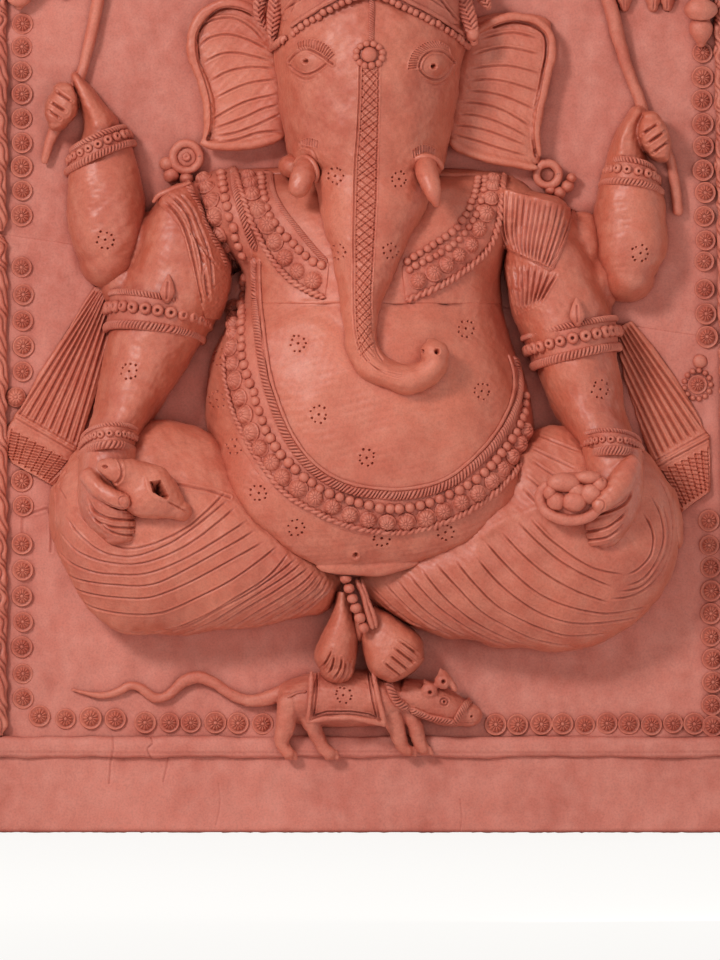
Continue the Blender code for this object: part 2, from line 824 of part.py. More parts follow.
def crown():
    full = HEAD_DEPTH * 0.93
    parts = [loft(relief(CROWN, full), 8, fullness=2.4, end=FINIAL)]
    for lift, rows, tip in zip((0.4, 0.8), TUFTS, TUFT_TIPS):
        parts.append(loft(relief(rows, full, GAP + lift), 4, end=tip))
    place("crown", parts, TRIM_CLAY, hollow=hollow_of(CROWN[1:5], full, sides=6))
    parts = [
        draped(HEADBAND, ["head", "crown"], 9, 4),
        draped(FOREHEAD_STRING, ["head"], 5, 3),
        draped(MEDALLION, ["head"], 9, 6, start=MEDALLION_FOOT, end=MEDALLION_HEAD),
    ]
    place("headband", parts, TRIM_CLAY)


COLLAR_LEFT = [
    (-112, 796, -152, 792),
    (-95, 760, -150, 750),
    (-75, 730, -126, 704),
    (-52, 704, -92, 670),
    (-38, 688, -52, 641),
]
COLLAR_RIGHT = [
    (133, 788, 180, 775),
    (131, 755, 176, 742),
    (112, 722, 160, 708),
    (78, 694, 134, 683),
    (50, 680, 94, 657),
    (44, 668, 52, 640),
]
SHOULDER_GARLAND = [
    (-158, 794, -202, 786),
    (-156, 750, -198, 742),
    (-140, 712, -182, 702),
    (-128, 682, -160, 676),
]
BELLY_GARLAND = [
    (-120, 664, -148, 664),
    (-114, 622, -152, 618),
    (-110, 570, -160, 568),
    (-106, 522, -157, 518),
    (-88, 476, -143, 464),
    (-58, 442, -110, 418),
    (-20, 420, -62, 383),
    (32, 412, 6, 357),
    (80, 415, 62, 354),
    (124, 433, 117, 371),
    (156, 465, 167, 403),
    (176, 502, 193, 442),
    (182, 535, 202, 488),
    (182, 572, 200, 530),
]


def ornaments():
    for name, rows, hosts, proud in (
        ("belly_garland", BELLY_GARLAND, TORSO_NODES, GARLAND_PROUD),
        ("shoulder_garland", SHOULDER_GARLAND, TORSO_NODES + ["front_arm_left"], COLLAR_PROUD),
        ("collar_left", COLLAR_LEFT, TORSO_NODES, COLLAR_PROUD),
        ("collar_right", COLLAR_RIGHT, TORSO_NODES + ["front_arm_right"], COLLAR_PROUD),
    ):
        place(name, draped(rows, hosts, proud, 4), TRIM_CLAY)


# Rings round the arms: arm edges and crest at the lower and upper border of each
ARMLET_LEFT = [(-303, 606, -190, 590, 94), (-303, 626, -184, 606, 93), (-299, 646, -178, 622, 92)]
ARMLET_RIGHT = [(213, 562, 309, 582, 95), (209, 578, 308, 600, 94), (205, 594, 305, 618, 93)]
WRIST_LEFT = [(-335, 440, -267, 448, 138), (-334, 452, -265, 458, 135), (-332, 464, -262, 468, 131)]
WRIST_RIGHT = [(267, 443, 338, 441, 138), (264, 456, 336, 452, 133), (260, 466, 334, 463, 128)]
REAR_WRIST_LEFT = [(-350, 788, -267, 800, 60), (-348, 804, -270, 814, 57), (-345, 820, -272, 830, 54)]
REAR_WRIST_RIGHT = [(285, 772, 364, 764, 61), (288, 786, 360, 776, 57), (292, 798, 356, 790, 54)]


def bands():
    for name, rows, bow in (
        ("armlet_left", ARMLET_LEFT, 10),
        ("armlet_right", ARMLET_RIGHT, 4),
        ("bangle_front_left", WRIST_LEFT, 22),
        ("bangle_front_right", WRIST_RIGHT, 18),
        ("bangle_rear_left", REAR_WRIST_LEFT, 14),
        ("bangle_rear_right", REAR_WRIST_RIGHT, 8),
    ):
        place(name, wrapped(rows, ARMLET_PROUD, bow=bow), TRIM_CLAY)


PALM_LEFT = [
    ((-334, 842), (-291, 844), GAP, 46),
    ((-338, 868), (-304, 872), GAP, 50),
    ((-340, 892), (-317, 892), GAP, 44),
]
HEEL_LEFT = [
    ((-366, 872), (-362, 846), GAP + 0.3, 42),
    ((-338, 876), (-336, 842), GAP + 0.3, 46),
    ((-312, 880), (-310, 846), GAP + 0.3, 42),
]
FIST_LEFT = [
    ((-370, 850), (-340, 852), GAP + 0.6, 40),
    ((-377, 872), (-341, 872), GAP + 0.6, 46),
    ((-374, 893), (-344, 890), GAP + 0.6, 42),
]
PALM_RIGHT = [
    ((299, 826), (346, 820), GAP, 46),
    ((306, 846), (350, 838), GAP, 50),
    ((320, 862), (352, 852), GAP, 44),
]
HEEL_RIGHT = [
    ((310, 850), (308, 818), GAP + 0.3, 42),
    ((338, 846), (336, 812), GAP + 0.3, 46),
    ((362, 842), (360, 814), GAP + 0.3, 42),
]
FIST_RIGHT = [
    ((334, 818), (366, 812), GAP + 0.6, 42),
    ((330, 838), (374, 832), GAP + 0.6, 46),
    ((334, 856), (370, 850), GAP + 0.6, 42),
]
PALM_TIPS = [(-331, 912), (340, 872)]
FIST_LEFT_ENDS = [(-352, 840), (-360, 908)]
FIST_RIGHT_ENDS = [(356, 803), (352, 868)]
FINGERTIPS = [(-286, 345), (296, 336)]
MITT_LEFT = [
    (-332, 452, -266, 456),
    (-337, 425, -262, 430),
    (-336, 395, -262, 398),
    (-322, 366, -262, 372),
]
MITT_RIGHT = [
    (268, 452, 338, 456),
    (270, 425, 341, 425),
    (262, 395, 340, 395),
    (260, 365, 332, 362),
]


def hands():
    """Fists round the staffs behind, open hands holding the conch and the bowl in front."""
    place("rear_hand_left", [
        loft(PALM_LEFT, 6, 10, end=PALM_TIPS[0]),
        loft(HEEL_LEFT, 5, 10),
        loft(FIST_LEFT, 6, 10, start=FIST_LEFT_ENDS[0], end=FIST_LEFT_ENDS[1]),
    ])
    place("rear_hand_right", [
        loft(PALM_RIGHT, 6, 10, end=PALM_TIPS[1]),
        loft(HEEL_RIGHT, 5, 10),
        loft(FIST_RIGHT, 6, 10, start=FIST_RIGHT_ENDS[0], end=FIST_RIGHT_ENDS[1]),
    ])
    left = draped(MITT_LEFT, ["leg_left"], HAND_THICKNESS, 7, 2, end=FINGERTIPS[0])
    place("front_hand_left", left)
    right = draped(MITT_RIGHT, ["leg_right"], HAND_THICKNESS, 7, 2, end=FINGERTIPS[1])
    place("front_hand_right", right)


# Staffs from their lower ends up, with the heads above the picture's edge guessed
STAFF_LEFT = [(-384, 804), (-366, 836), (-350, 872), (-334, 912), (-314, 1000), (-304, 1070)]
STAFF_RIGHT = [
    (380, 742),
    (366, 780),
    (350, 830),
    (336, 872),
    (318, 925),
    (298, 1000),
    (284, 1056),
]
AXE_TOP = (-303, 1080)
GOAD_TOP = (278, 1080)
AXE_BLADE = [(-306, 1050), (-262, 1030), (-246, 1062), (-250, 1098), (-268, 1126), (-302, 1096)]
GOAD_HOOK = [(288, 1040), (262, 1052), (242, 1042), (236, 1022)]


def held_things():
    stations = tube_stations(STAFF_LEFT, [5, 7, 7, 7, 7, 7], GAP, STAFF_DEPTH)
    rod = loft(stations, 5, 15, end=AXE_TOP)
    place("axe", [rod, plate(AXE_BLADE, GAP + 2, 13)], TRIM_CLAY)
    stations = tube_stations(STAFF_RIGHT, [5, 6, 7, 7, 8, 9, 8], GAP, STAFF_DEPTH)
    hook = tube_stations(GOAD_HOOK, [7, 7, 6, 4], GAP + 1, 14)
    place("goad", [loft(stations, 5, 15, end=GOAD_TOP), loft(hook, 5, 15)], TRIM_CLAY)


CONCH_LINE = [(-300, 436), (-280, 430), (-256, 418), (-232, 402), (-214, 388)]
CONCH_GIRTH = [16, 24, 30, 24, 10]
CONCH_TIP = (-204, 383)
BOWL_SEAT = (258, 392)
BOWL_ENDS = [(206, 396), (306, 396)]
BOWL = [
    (214, 404, 226, 380, 22),
    (234, 412, 240, 370, 34),
    (262, 414, 264, 368, 38),
    (290, 408, 288, 374, 34),
]
SWEETS = [
    (234, 408, 13),
    (252, 420, 14),
    (274, 421, 14),
    (289, 409, 13),
    (246, 398, 14),
    (270, 400, 15),
]


def offerings():
    """The conch and the bowl rest against the open hands, in front of the legs."""
    legs_and_hand = ["leg_left", "front_hand_left"]
    rings = []
    for (a, b, _, _), reach in zip(tube_stations(CONCH_LINE, CONCH_GIRTH, 0, 1), CONCH_GIRTH):
        back = max(surface(*between(a, b, 0.5), legs_and_hand), 96) - 3
        rings.append((a, b, back - EMBED, back + 8 + reach))
    place("conch", loft(rings, 10, rounded=True, end=CONCH_TIP))
    seat = surface(*BOWL_SEAT, ["leg_right"])
    rim = [((ax, az), (bx, bz), seat - 20, seat + rise) for ax, az, bx, bz, rise in BOWL]
    heap = [loft(rim, 8, 10, start=BOWL_ENDS[0], end=BOWL_ENDS[1])]
    for i, (x, z, reach) in enumerate(SWEETS):
        low, top = seat - 6 + i, seat + 44
        lump = [((x - reach, z + lift), (x + reach, z + lift), low, top) for lift in (-3, 3)]
        heap.append(loft(lump, 5, start=(x, z - reach), end=(x, z + reach)))
    place("bowl_of_sweets", heap, TRIM_CLAY)


SHOULDER_CLOTH = [
    (-250, 764, -196, 786),
    (-224, 740, -184, 758),
    (-206, 700, -162, 706),
    (-194, 655, -152, 660),
    (-188, 618, -166, 612),
]
SLEEVE = [
    (174, 772, 259, 750),
    (166, 735, 248, 716),
    (162, 700, 234, 680),
    (168, 660, 222, 650),
    (184, 622, 206, 616),
]
SASH_LEFT = [
    (-318, 656, -290, 652),
    (-366, 580, -306, 560),
    (-412, 503, -338, 462),
    (-430, 470, -350, 436),
    (-418, 444, -366, 416),
]
SASH_RIGHT = [
    (308, 606, 326, 614),
    (318, 545, 372, 556),
    (350, 446, 416, 480),
    (356, 440, 419, 474),
    (385, 385, 420, 410),
]


def cloth():
    place("shoulder_cloth", draped(SHOULDER_CLOTH, TORSO_NODES + ["front_arm_left"], CLOTH_PROUD))
    place("sleeve", draped(SLEEVE, TORSO_NODES + ["front_arm_right"], CLOTH_PROUD))
    for word, rows in (("left", SASH_LEFT), ("right", SASH_RIGHT)):
        flat = [((ax, az), (bx, bz), GAP, SASH_DEPTH) for ax, az, bx, bz in rows]
        place(f"sash_{word}", loft(flat, 5, fullness=3.5))


# Feet and hanging cloth: (edge a, edge b, base depth, crest depth)
FOOT_LEFT = [
    ((-34, 282), (-12, 286), 40, 70),
    ((-42, 250), (-9, 254), 30, FOOT_DEPTH),
    ((-54, 216), (-4, 226), 20, FOOT_DEPTH),
    ((-50, 196), (-7, 202), 20, FOOT_DEPTH * 0.8),
]
FOOT_RIGHT = [
    ((14, 262), (10, 240), 40, 66),
    ((44, 256), (18, 206), 30, FOOT_DEPTH),
    ((66, 240), (34, 188), 20, FOOT_DEPTH * 0.9),
]
TOES_LEFT = (-26, 180)
TOES_RIGHT = (66, 196)
TASSEL_END = (6, 238)
TASSEL_LINE = [(-17, 308), (-11, 286), (-3, 266), (4, 248)]
CLOTH_END = [
    ((0, 300), (-8, 292), 60, 84),
    ((14, 275), (-2, 270), 56, 82),
    ((24, 250), (6, 246), 52, 78),
]


def feet():
    place("foot_left", loft(FOOT_LEFT, 8, 10, end=TOES_LEFT))
    place("foot_right", loft(FOOT_RIGHT, 8, 10, end=TOES_RIGHT))
    stations = tube_stations(TASSEL_LINE, 8, [70, 66, 62, 60], [96, 92, 90, 86])
    tassel = loft(stations, 6, rounded=True, end=TASSEL_END)
    place("waist_tassel", [tassel, loft(CLOTH_END, 4, fullness=3)], TRIM_CLAY)


# The mouse, facing right: sections from rump to shoulder and from neck to nose
MOUSE_BODY = [
    ((-88, 180), (-88, 132), GAP, MOUSE_DEPTH * 0.8),
    ((-50, 193), (-50, 126), GAP, MOUSE_DEPTH),
    ((0, 195), (0, 126), GAP, MOUSE_DEPTH),
    ((34, 190), (36, 130), GAP, MOUSE_DEPTH * 0.92),
    ((52, 178), (56, 142), GAP, MOUSE_DEPTH * 0.76),
]
MOUSE_HEAD = [
    ((60, 178), (56, 142), 10, 40),
    ((84, 174), (78, 136), 10, 42),
    ((106, 164), (102, 130), 10, 36),
    ((126, 152), (124, 128), 10, 28),
]
MOUSE_LEGS = [
    [(-84, 150), (-92, 120), (-89, 96)],
    [(-58, 140), (-48, 112), (-40, 96)],
    [(40, 145), (48, 118), (54, 100)],
    [(58, 150), (70, 120), (75, 101)],
]
RUMP = (-99, 155)
SHOULDERS = (62, 160)
NOSE = (144, 138)
PAW_LEVEL = 90
MOUSE_EARS = [(80, 176, 10), (97, 182, 10)]
MOUSE_TAIL = [
    (-84, 172),
    (-100, 164),
    (-130, 159),
    (-160, 170),
    (-185, 187),
    (-212, 180),
    (-240, 162),
    (-268, 178),
    (-300, 166),
    (-342, 173),
]
TAIL_GIRTH = [9, 8, 7.5, 7.5, 7.5, 7, 6, 6, 4.5, 2]
TAIL_CREST = [24, 16, 14, 14, 14, 13, 12, 11, 9, 5]


def mouse():
    parts = [loft(MOUSE_BODY, 7, 8, start=RUMP, end=SHOULDERS)]
    for i, points in enumerate(MOUSE_LEGS):
        low = GAP + 0.3 + 0.2 * i
        stations = tube_stations(points, 9, low, [30, 27, 24])
        parts.append(loft(stations, 5, 12, end=(points[-1][0] + 3, PAW_LEVEL)))
    stations = tube_stations(MOUSE_TAIL, TAIL_GIRTH, GAP + 1.2, TAIL_CREST)
    parts.append(loft(stations, 3, 12))
    parts.append(loft(MOUSE_HEAD, 7, 8, end=NOSE))
    for i, (x, z, reach) in enumerate(MOUSE_EARS):
        parts.append(disc(x, z, reach, 17 + i, 40, 7, 3))
    place("mouse", parts)


# Corner ornaments: heights of the bracket, the bud's tip and the leaf tips, and the leaves
PENDANTS = {
    -1: (1030, 992, 1002, [(378, 380), (362, 358)]),
    1: (1026, 944, 985, [(372, 369), (346, 352), (322, 317)]),
}
BUD_PROFILE = [(0, 10), (0.3, 11), (0.45, 19), (0.62, 19), (0.66, 11), (0.82, 13), (0.94, 9)]


def pendants():
    """A bracket in each top corner with hanging leaves and a lotus bud."""
    for side, word in ((-1, "left"), (1, "right")):
        top, bud_tip, leaf_tip, leaves = PENDANTS[side]
        x = side * (HALF_WIDTH - 35)
        inner = leaves[-1][0] - 14
        roll = [((side * e, top + 14), (side * e, top - 14), GAP, 22) for e in (422, inner)]
        length = top - bud_tip
        bud = []
        for share, reach in BUD_PROFILE:
            z = top - length * share
            bud.append(((x - reach, z), (x + reach, z), GAP + 0.3, 10 + reach))
        parts = [loft(roll, 5, 10, end=(side * (inner - 8), top))]
        parts.append(loft(bud, 6, 10, end=(x, bud_tip)))
        for i, (root, tip) in enumerate(leaves):
            low = GAP + 0.6 + 0.3 * i
            middle = (top + leaf_tip) / 2 - 4
            leaf = [
                ((side * (root - 12), top - 5), (side * (root + 12), top - 5), low, 15),
                ((side * (tip - 11), middle), (side * (tip + 11), middle), low, 14),
            ]
            parts.append(loft(leaf, 4, 10, end=(side * tip, leaf_tip)))
        place(f"pendant_{word}", parts, TRIM_CLAY)


def main():
    for obj in list(bpy.data.objects):
        bpy.data.objects.remove(obj)
    slab_sections()
    border()
    rosettes()
    pendants()
    torso()
    legs()
    arms()
    feet()
    head_and_trunk()
    ears()
    crown()
    ornaments()
    cloth()
    held_things()
    hands()
    bands()
    offerings()
    mouse()
    for _, guide in cutters.values():
        bpy.data.objects.remove(guide)
    for obj in placed.values():
        obj.hide_render = False


main()
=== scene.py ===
"""Looks of the terracotta wall panel: a seated, four-armed Ganesha in high relief.

Shapes are built in plan millimetres, as columns x (viewer's right), z (above the bottom edge) and
depth (forward of the slab's face), and turned into metres in the frame of the CAD when a piece is
made. Every piece rides on the one fired body."""

import math

import bmesh
import bpy
import numpy as np
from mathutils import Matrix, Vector
from mathutils.bvhtree import BVHTree


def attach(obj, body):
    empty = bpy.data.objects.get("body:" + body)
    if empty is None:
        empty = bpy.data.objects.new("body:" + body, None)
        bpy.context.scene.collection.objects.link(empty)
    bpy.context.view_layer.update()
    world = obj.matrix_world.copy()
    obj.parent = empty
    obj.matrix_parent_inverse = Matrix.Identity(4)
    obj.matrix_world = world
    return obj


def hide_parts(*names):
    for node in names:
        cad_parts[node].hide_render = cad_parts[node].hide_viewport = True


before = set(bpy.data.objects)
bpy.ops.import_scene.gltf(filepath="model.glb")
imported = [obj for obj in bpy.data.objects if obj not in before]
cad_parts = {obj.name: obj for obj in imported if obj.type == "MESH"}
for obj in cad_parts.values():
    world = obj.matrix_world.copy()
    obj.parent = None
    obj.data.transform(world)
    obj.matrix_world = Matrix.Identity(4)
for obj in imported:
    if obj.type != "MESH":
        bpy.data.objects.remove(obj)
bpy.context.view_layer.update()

MM = 0.001
SLAB = 22
HANG = 600
HALF_WIDTH = 446
HEIGHT = 1290
ARCH_RISE = 240
SPRINGING = HEIGHT - ARCH_RISE
RIGHT_SPLAY = 16
SEAM_LEFT = 721
SEAM_RIGHT = 589
SEAM_FIGURE = 635
GAP = 0.3

BELLY_DEPTH = 154
LEG_DEPTH = 124
HEAD_DEPTH = 138
REAR_ARM_DEPTH = 66
FRONT_ARM_DEPTH = 94
EAR_DEPTH = 34


# Meshes as arrays


class Shape:
    """Points as rows of x, z, depth, and faces of four corners; a triangle ends with -1."""

    def __init__(self, points, faces):
        self.points = np.asarray(points, float).reshape(-1, 3)
        self.faces = np.asarray(faces, int).reshape(-1, 4)


def joined(shapes):
    points, faces, start = [], [], 0
    for shape in shapes:
        corners = shape.faces.copy()
        corners[corners >= 0] += start
        points.append(shape.points)
        faces.append(corners)
        start += len(shape.points)
    return Shape(np.concatenate(points), np.concatenate(faces))


def triangles_of(shape):
    quads = shape.faces[shape.faces[:, 3] >= 0]
    tris = shape.faces[shape.faces[:, 3] < 0][:, :3]
    return np.concatenate([tris, quads[:, [0, 1, 2]], quads[:, [0, 2, 3]]])


def volume(shape):
    a, b, c = (shape.points[triangles_of(shape)[:, i]] for i in range(3))
    return float(np.einsum("ij,ij->i", a, np.cross(b, c)).sum()) / 6


def flipped(shape):
    faces = shape.faces.copy()
    quads = faces[:, 3] >= 0
    faces[quads] = faces[quads][:, ::-1]
    faces[~quads, :3] = faces[~quads, :3][:, ::-1]
    return Shape(shape.points, faces)


def outward(shape):
    """A closed shape with its faces turned outwards."""
    return flipped(shape) if volume(shape) < 0 else shape


def closed(shapes):
    """Closed shapes as one, each with its faces turned outwards."""
    return joined([outward(s) for s in shapes])


def normals_of(shape):
    triangles = triangles_of(shape)
    a, b, c = (shape.points[triangles[:, i]] for i in range(3))
    face_normals = np.cross(b - a, c - a)
    total = np.zeros_like(shape.points)
    for corner in range(3):
        for axis in range(3):
            total[:, axis] += np.bincount(
                triangles[:, corner], face_normals[:, axis], len(shape.points)
            )
    length = np.linalg.norm(total, axis=1, keepdims=True)
    return total / np.maximum(length, 1e-9)


def mesh_of(shape, name):
    """A Blender mesh in metres from a shape in plan millimetres."""
    points = shape.points
    metres = np.column_stack([points[:, 0], -(SLAB + points[:, 2]), points[:, 1] - HANG]) * MM
    triangle = shape.faces[:, 3] < 0
    sizes = np.where(triangle, 3, 4)
    corners = shape.faces.ravel()
    corners = corners[corners >= 0]
    mesh = bpy.data.meshes.new(name)
    mesh.vertices.add(len(points))
    mesh.vertices.foreach_set("co", metres.astype(np.float32).ravel())
    mesh.loops.add(len(corners))
    mesh.loops.foreach_set("vertex_index", corners.astype(np.int32))
    mesh.polygons.add(len(sizes))
    starts = np.concatenate([[0], np.cumsum(sizes)[:-1]])
    mesh.polygons.foreach_set("loop_start", starts.astype(np.int32))
    mesh.polygons.foreach_set("use_smooth", np.ones(len(sizes), bool))
    mesh.update(calc_edges=True)
    return mesh


def shape_of(mesh):
    """A shape in plan millimetres from a Blender mesh of triangles and quads."""
    co = np.zeros(len(mesh.vertices) * 3, np.float32)
    mesh.vertices.foreach_get("co", co)
    co = co.reshape(-1, 3).astype(float) / MM
    points = np.column_stack([co[:, 0], co[:, 2] + HANG, -co[:, 1] - SLAB])
    starts = np.zeros(len(mesh.polygons), np.int32)
    sizes = np.zeros(len(mesh.polygons), np.int32)
    corners = np.zeros(len(mesh.loops), np.int32)
    mesh.polygons.foreach_get("loop_start", starts)
    mesh.polygons.foreach_get("loop_total", sizes)
    mesh.loops.foreach_get("vertex_index", corners)
    faces = np.full((len(sizes), 4), -1)
    for i in range(4):
        has = sizes > i
        faces[has, i] = corners[starts[has] + i]
    return Shape(points, faces)


def finished(bm, mesh):
    """A shape from an edited bmesh, which is freed together with its mesh."""
    bm.to_mesh(mesh)
    bm.free()
    shape = shape_of(mesh)
    bpy.data.meshes.remove(mesh)
    return shape


def neighbour_mean(shape):
    """A function that averages each point's neighbours."""
    faces = shape.faces
    pairs = [faces[:, [0, 1]], faces[:, [1, 2]]]
    quads = faces[faces[:, 3] >= 0]
    tris = faces[faces[:, 3] < 0]
    pairs += [quads[:, [2, 3]], quads[:, [3, 0]], tris[:, [2, 0]]]
    pairs = np.concatenate(pairs)
    first, second = pairs.T
    count = len(shape.points)
    degree = np.bincount(first, minlength=count) + np.bincount(second, minlength=count)

    def mean(points):
        total = np.zeros_like(points)
        for axis in range(3):
            total[:, axis] = np.bincount(first, points[second, axis], count)
            total[:, axis] += np.bincount(second, points[first, axis], count)
        return total / np.maximum(degree, 1)[:, None]

    return mean


def smoothed(shape, rounds, shrink=0.5, swell=0.52):
    """Relaxes the skin without losing its volume."""
    mean = neighbour_mean(shape)
    points = shape.points.copy()
    for _ in range(rounds):
        points += (mean(points) - points) * shrink
        points -= (mean(points) - points) * swell
    return Shape(points, shape.faces)


def fused(shapes, voxel, rounds=3):
    """One skin over overlapping closed forms, its creases softened."""
    obj = bpy.data.objects.new("skin", mesh_of(closed(shapes), "skin"))
    bpy.context.scene.collection.objects.link(obj)
    modifier = obj.modifiers.new("Skin", "REMESH")
    modifier.mode = "VOXEL"
    modifier.voxel_size = voxel * MM
    evaluated = obj.evaluated_get(bpy.context.evaluated_depsgraph_get())
    mesh = bpy.data.meshes.new_from_object(evaluated)
    shape = shape_of(mesh)
    old = obj.data
    bpy.data.objects.remove(obj)
    bpy.data.meshes.remove(old)
    bpy.data.meshes.remove(mesh)
    mean = neighbour_mean(shape)
    points = shape.points
    for _ in range(rounds):
        points = points + (mean(points) - points) * 0.6
    return smoothed(Shape(points, shape.faces), 4)


# Curves and sections


def lengths_along(points):
    """How far along the line each of its points lies."""
    return np.concatenate([[0], np.cumsum(np.linalg.norm(np.diff(points, axis=0), axis=1))])


def unit(rows):
    return rows / np.linalg.norm(rows, axis=1, keepdims=True)


def circle(count):
    """Angles evenly round a circle."""
    return np.linspace(0, 2 * math.pi, count, endpoint=False)


def curve(points, pitch=None, count=None):
    """Evenly spaced points on a smooth curve through the rows."""
    rows = np.asarray(points, float)
    if len(rows) == 2:
        steps = np.linalg.norm(rows[1] - rows[0])
        count = count or max(2, int(round(steps / pitch)) + 1)
        return rows[0] + (rows[1] - rows[0]) * np.linspace(0, 1, count)[:, None]
    place = lengths_along(rows)
    slope = np.empty_like(rows)
    slope[1:-1] = (rows[2:] - rows[:-2]) / (place[2:] - place[:-2])[:, None]
    slope[0] = (rows[1] - rows[0]) / place[1] * 1.5 - slope[1] * 0.5
    slope[-1] = (rows[-1] - rows[-2]) / (place[-1] - place[-2]) * 1.5 - slope[-2] * 0.5

    def sample(where):
        i = np.clip(np.searchsorted(place, where, "right") - 1, 0, len(rows) - 2)
        span = (place[i + 1] - place[i])[:, None]
        t = ((where - place[i]) / span[:, 0])[:, None]
        one = (1 + 2 * t) * (1 - t) ** 2 * rows[i] + t * (1 - t) ** 2 * span * slope[i]
        two = t**2 * (3 - 2 * t) * rows[i + 1] + t**2 * (t - 1) * span * slope[i + 1]
        return one + two

    fine = sample(np.linspace(0, place[-1], 40 * len(rows)))
    along = lengths_along(fine)
    count = count or max(2, int(round(along[-1] / pitch)) + 1)
    places = np.linspace(0, along[-1], count)
    return np.column_stack([np.interp(places, along, fine[:, i]) for i in range(rows.shape[1])])


def power(values, exponent):
    return np.sign(values) * np.abs(values) ** exponent


def stations(rows, top):
    """Stations of (a, b, base, crest) from rows that give a share of the full depth."""
    return [(ax, az, bx, bz, GAP, top * share) for ax, az, bx, bz, share in rows]


def capped(rows, start=None, end=None, steps=9):
    """Rows with rounded ends that close towards the start and end points, where given."""
    rows = np.asarray(rows, float)
    caps = {0: np.empty((0, 6)), -1: np.empty((0, 6))}
    for pole, where in ((start, 0), (end, -1)):
        if pole is None:
            continue
        row = rows[where]
        middle = (row[0:2] + row[2:4]) / 2
        made = []
        for angle in np.radians(np.linspace(0, 88, steps + 1)[1:]):
            shift, shrink = math.sin(angle), math.cos(angle)
            centre = middle + (np.array(pole) - middle) * shift
            new = row.copy()
            new[0:2] = centre + (row[0:2] - middle) * shrink
            new[2:4] = centre + (row[2:4] - middle) * shrink
            new[5] = row[4] + (row[5] - row[4]) * shrink
            made.append(new)
        caps[where] = np.array(made)
    return np.concatenate([caps[0][::-1], rows, caps[-1]])


def d_rings(rows, sides, tuck=0, fullness=2.0, bow=0):
    """D-shaped sections of evenly spaced points, flat at the base; tuck rolls their edges under."""
    low = math.radians(tuck)
    angle = np.linspace(-low, math.pi + low, 12 * sides + 1)
    across = power(np.cos(angle), 2 / fullness)
    rise = (power(np.sin(angle), 2 / fullness) + math.sin(low)) / (1 + math.sin(low))
    wide = np.linalg.norm(rows[:, 0:2] - rows[:, 2:4], axis=1).mean() / 2
    tall = (rows[:, 5] - rows[:, 4]).mean()
    place = np.concatenate([[0], np.cumsum(np.hypot(np.diff(across) * wide, np.diff(rise) * tall))])
    even = np.linspace(0, place[-1], sides + 1)
    along = (1 + np.interp(even, place, across)) / 2
    up = np.interp(even, place, rise)
    a, b = rows[:, None, 0:2], rows[:, None, 2:4]
    base, crest = rows[:, None, 4], rows[:, None, 5]
    flat = b + (a - b) * along[None, :, None]
    depth = base + (crest - base) * up[None, :]
    lift = bow * up[None, :, None] * np.array([0, 1.0])
    return np.concatenate([flat + lift, depth[..., None]], axis=2)


def round_rings(rows, sides):
    angle = circle(sides)
    a, b = rows[:, None, 0:2], rows[:, None, 2:4]
    flat = b + (a - b) * ((1 + np.cos(angle)) / 2)[None, :, None]
    middle, half = (rows[:, None, 4] + rows[:, None, 5]) / 2, (rows[:, 5] - rows[:, 4])[:, None] / 2
    return np.concatenate([flat, (middle + half * np.sin(angle))[..., None]], axis=2)


def grid_faces(rows, columns, wrap):
    index = np.arange(rows * columns).reshape(rows, columns)
    if wrap:
        index = np.concatenate([index, index[:, :1]], axis=1)
    return np.stack([index[:-1, :-1], index[:-1, 1:], index[1:, 1:], index[1:, :-1]], -1).reshape(-1, 4)


def skin(rings):
    """A closed shape through rings of equal length, its two ends closed by fans."""
    rings = np.asarray(rings, float)
    rows, columns = rings.shape[:2]
    points = np.concatenate([rings.reshape(-1, 3), rings[:1].mean(1), rings[-1:].mean(1)])
    first, last = rows * columns, rows * columns + 1
    j = np.arange(columns)
    k = (j + 1) % columns
    near = np.column_stack([k, j, np.full(columns, first), np.full(columns, -1)])
    end = (rows - 1) * columns
    far = np.column_stack([end + j, end + k, np.full(columns, last), np.full(columns, -1)])
    return outward(Shape(points, np.concatenate([grid_faces(rows, columns, True), near, far])))


def loft(rows, pitch, sides, tuck=0, fullness=2.0, start=None, end=None):
    """A smooth form through stations of (a, b, base, crest), with a ring every pitch."""
    return skin(d_rings(capped(curve(rows, pitch), start, end), sides, tuck, fullness))


def tube_rows(points, radius, base, crest):
    """Stations across a line of points, with a half-width at each, square to the line."""
    points = np.asarray(points, float)
    along = unit(np.gradient(points, axis=0))
    across = np.column_stack([-along[:, 1], along[:, 0]])
    reach = np.broadcast_to(np.asarray(radius, float), len(points))[:, None]
    rows = np.empty((len(points), 6))
    rows[:, 0:2] = points + across * reach
    rows[:, 2:4] = points - across * reach
    rows[:, 4] = base
    rows[:, 5] = crest
    return rows


# Hand-made unevenness


def wobble(points, size, seed, waves=9):
    """Smooth unevenness of about one, with features of the given size in millimetres."""
    chance = np.random.RandomState(seed)
    total = np.zeros(len(points))
    for _ in range(waves):
        direction = chance.normal(size=points.shape[1])
        direction /= np.linalg.norm(direction)
        turns = chance.uniform(0.6, 1.5) / size
        total += np.sin(points @ direction * 2 * math.pi * turns + chance.uniform(0, 6.28))
    return total / math.sqrt(waves / 2)


def handled(shape, seed, coarse=0.8, fine=0.16):
    """The small hollows and swellings that fingers leave in clay."""
    lift = wobble(shape.points, 58, seed) * coarse + wobble(shape.points, 21, seed + 1) * coarse * 0.3
    lift += wobble(shape.points, 8, seed + 2) * fine
    points = shape.points + normals_of(shape) * lift[:, None]
    keep = shape.points[:, 2] < 1
    points[keep, 2] = shape.points[keep, 2]
    return Shape(points, shape.faces)


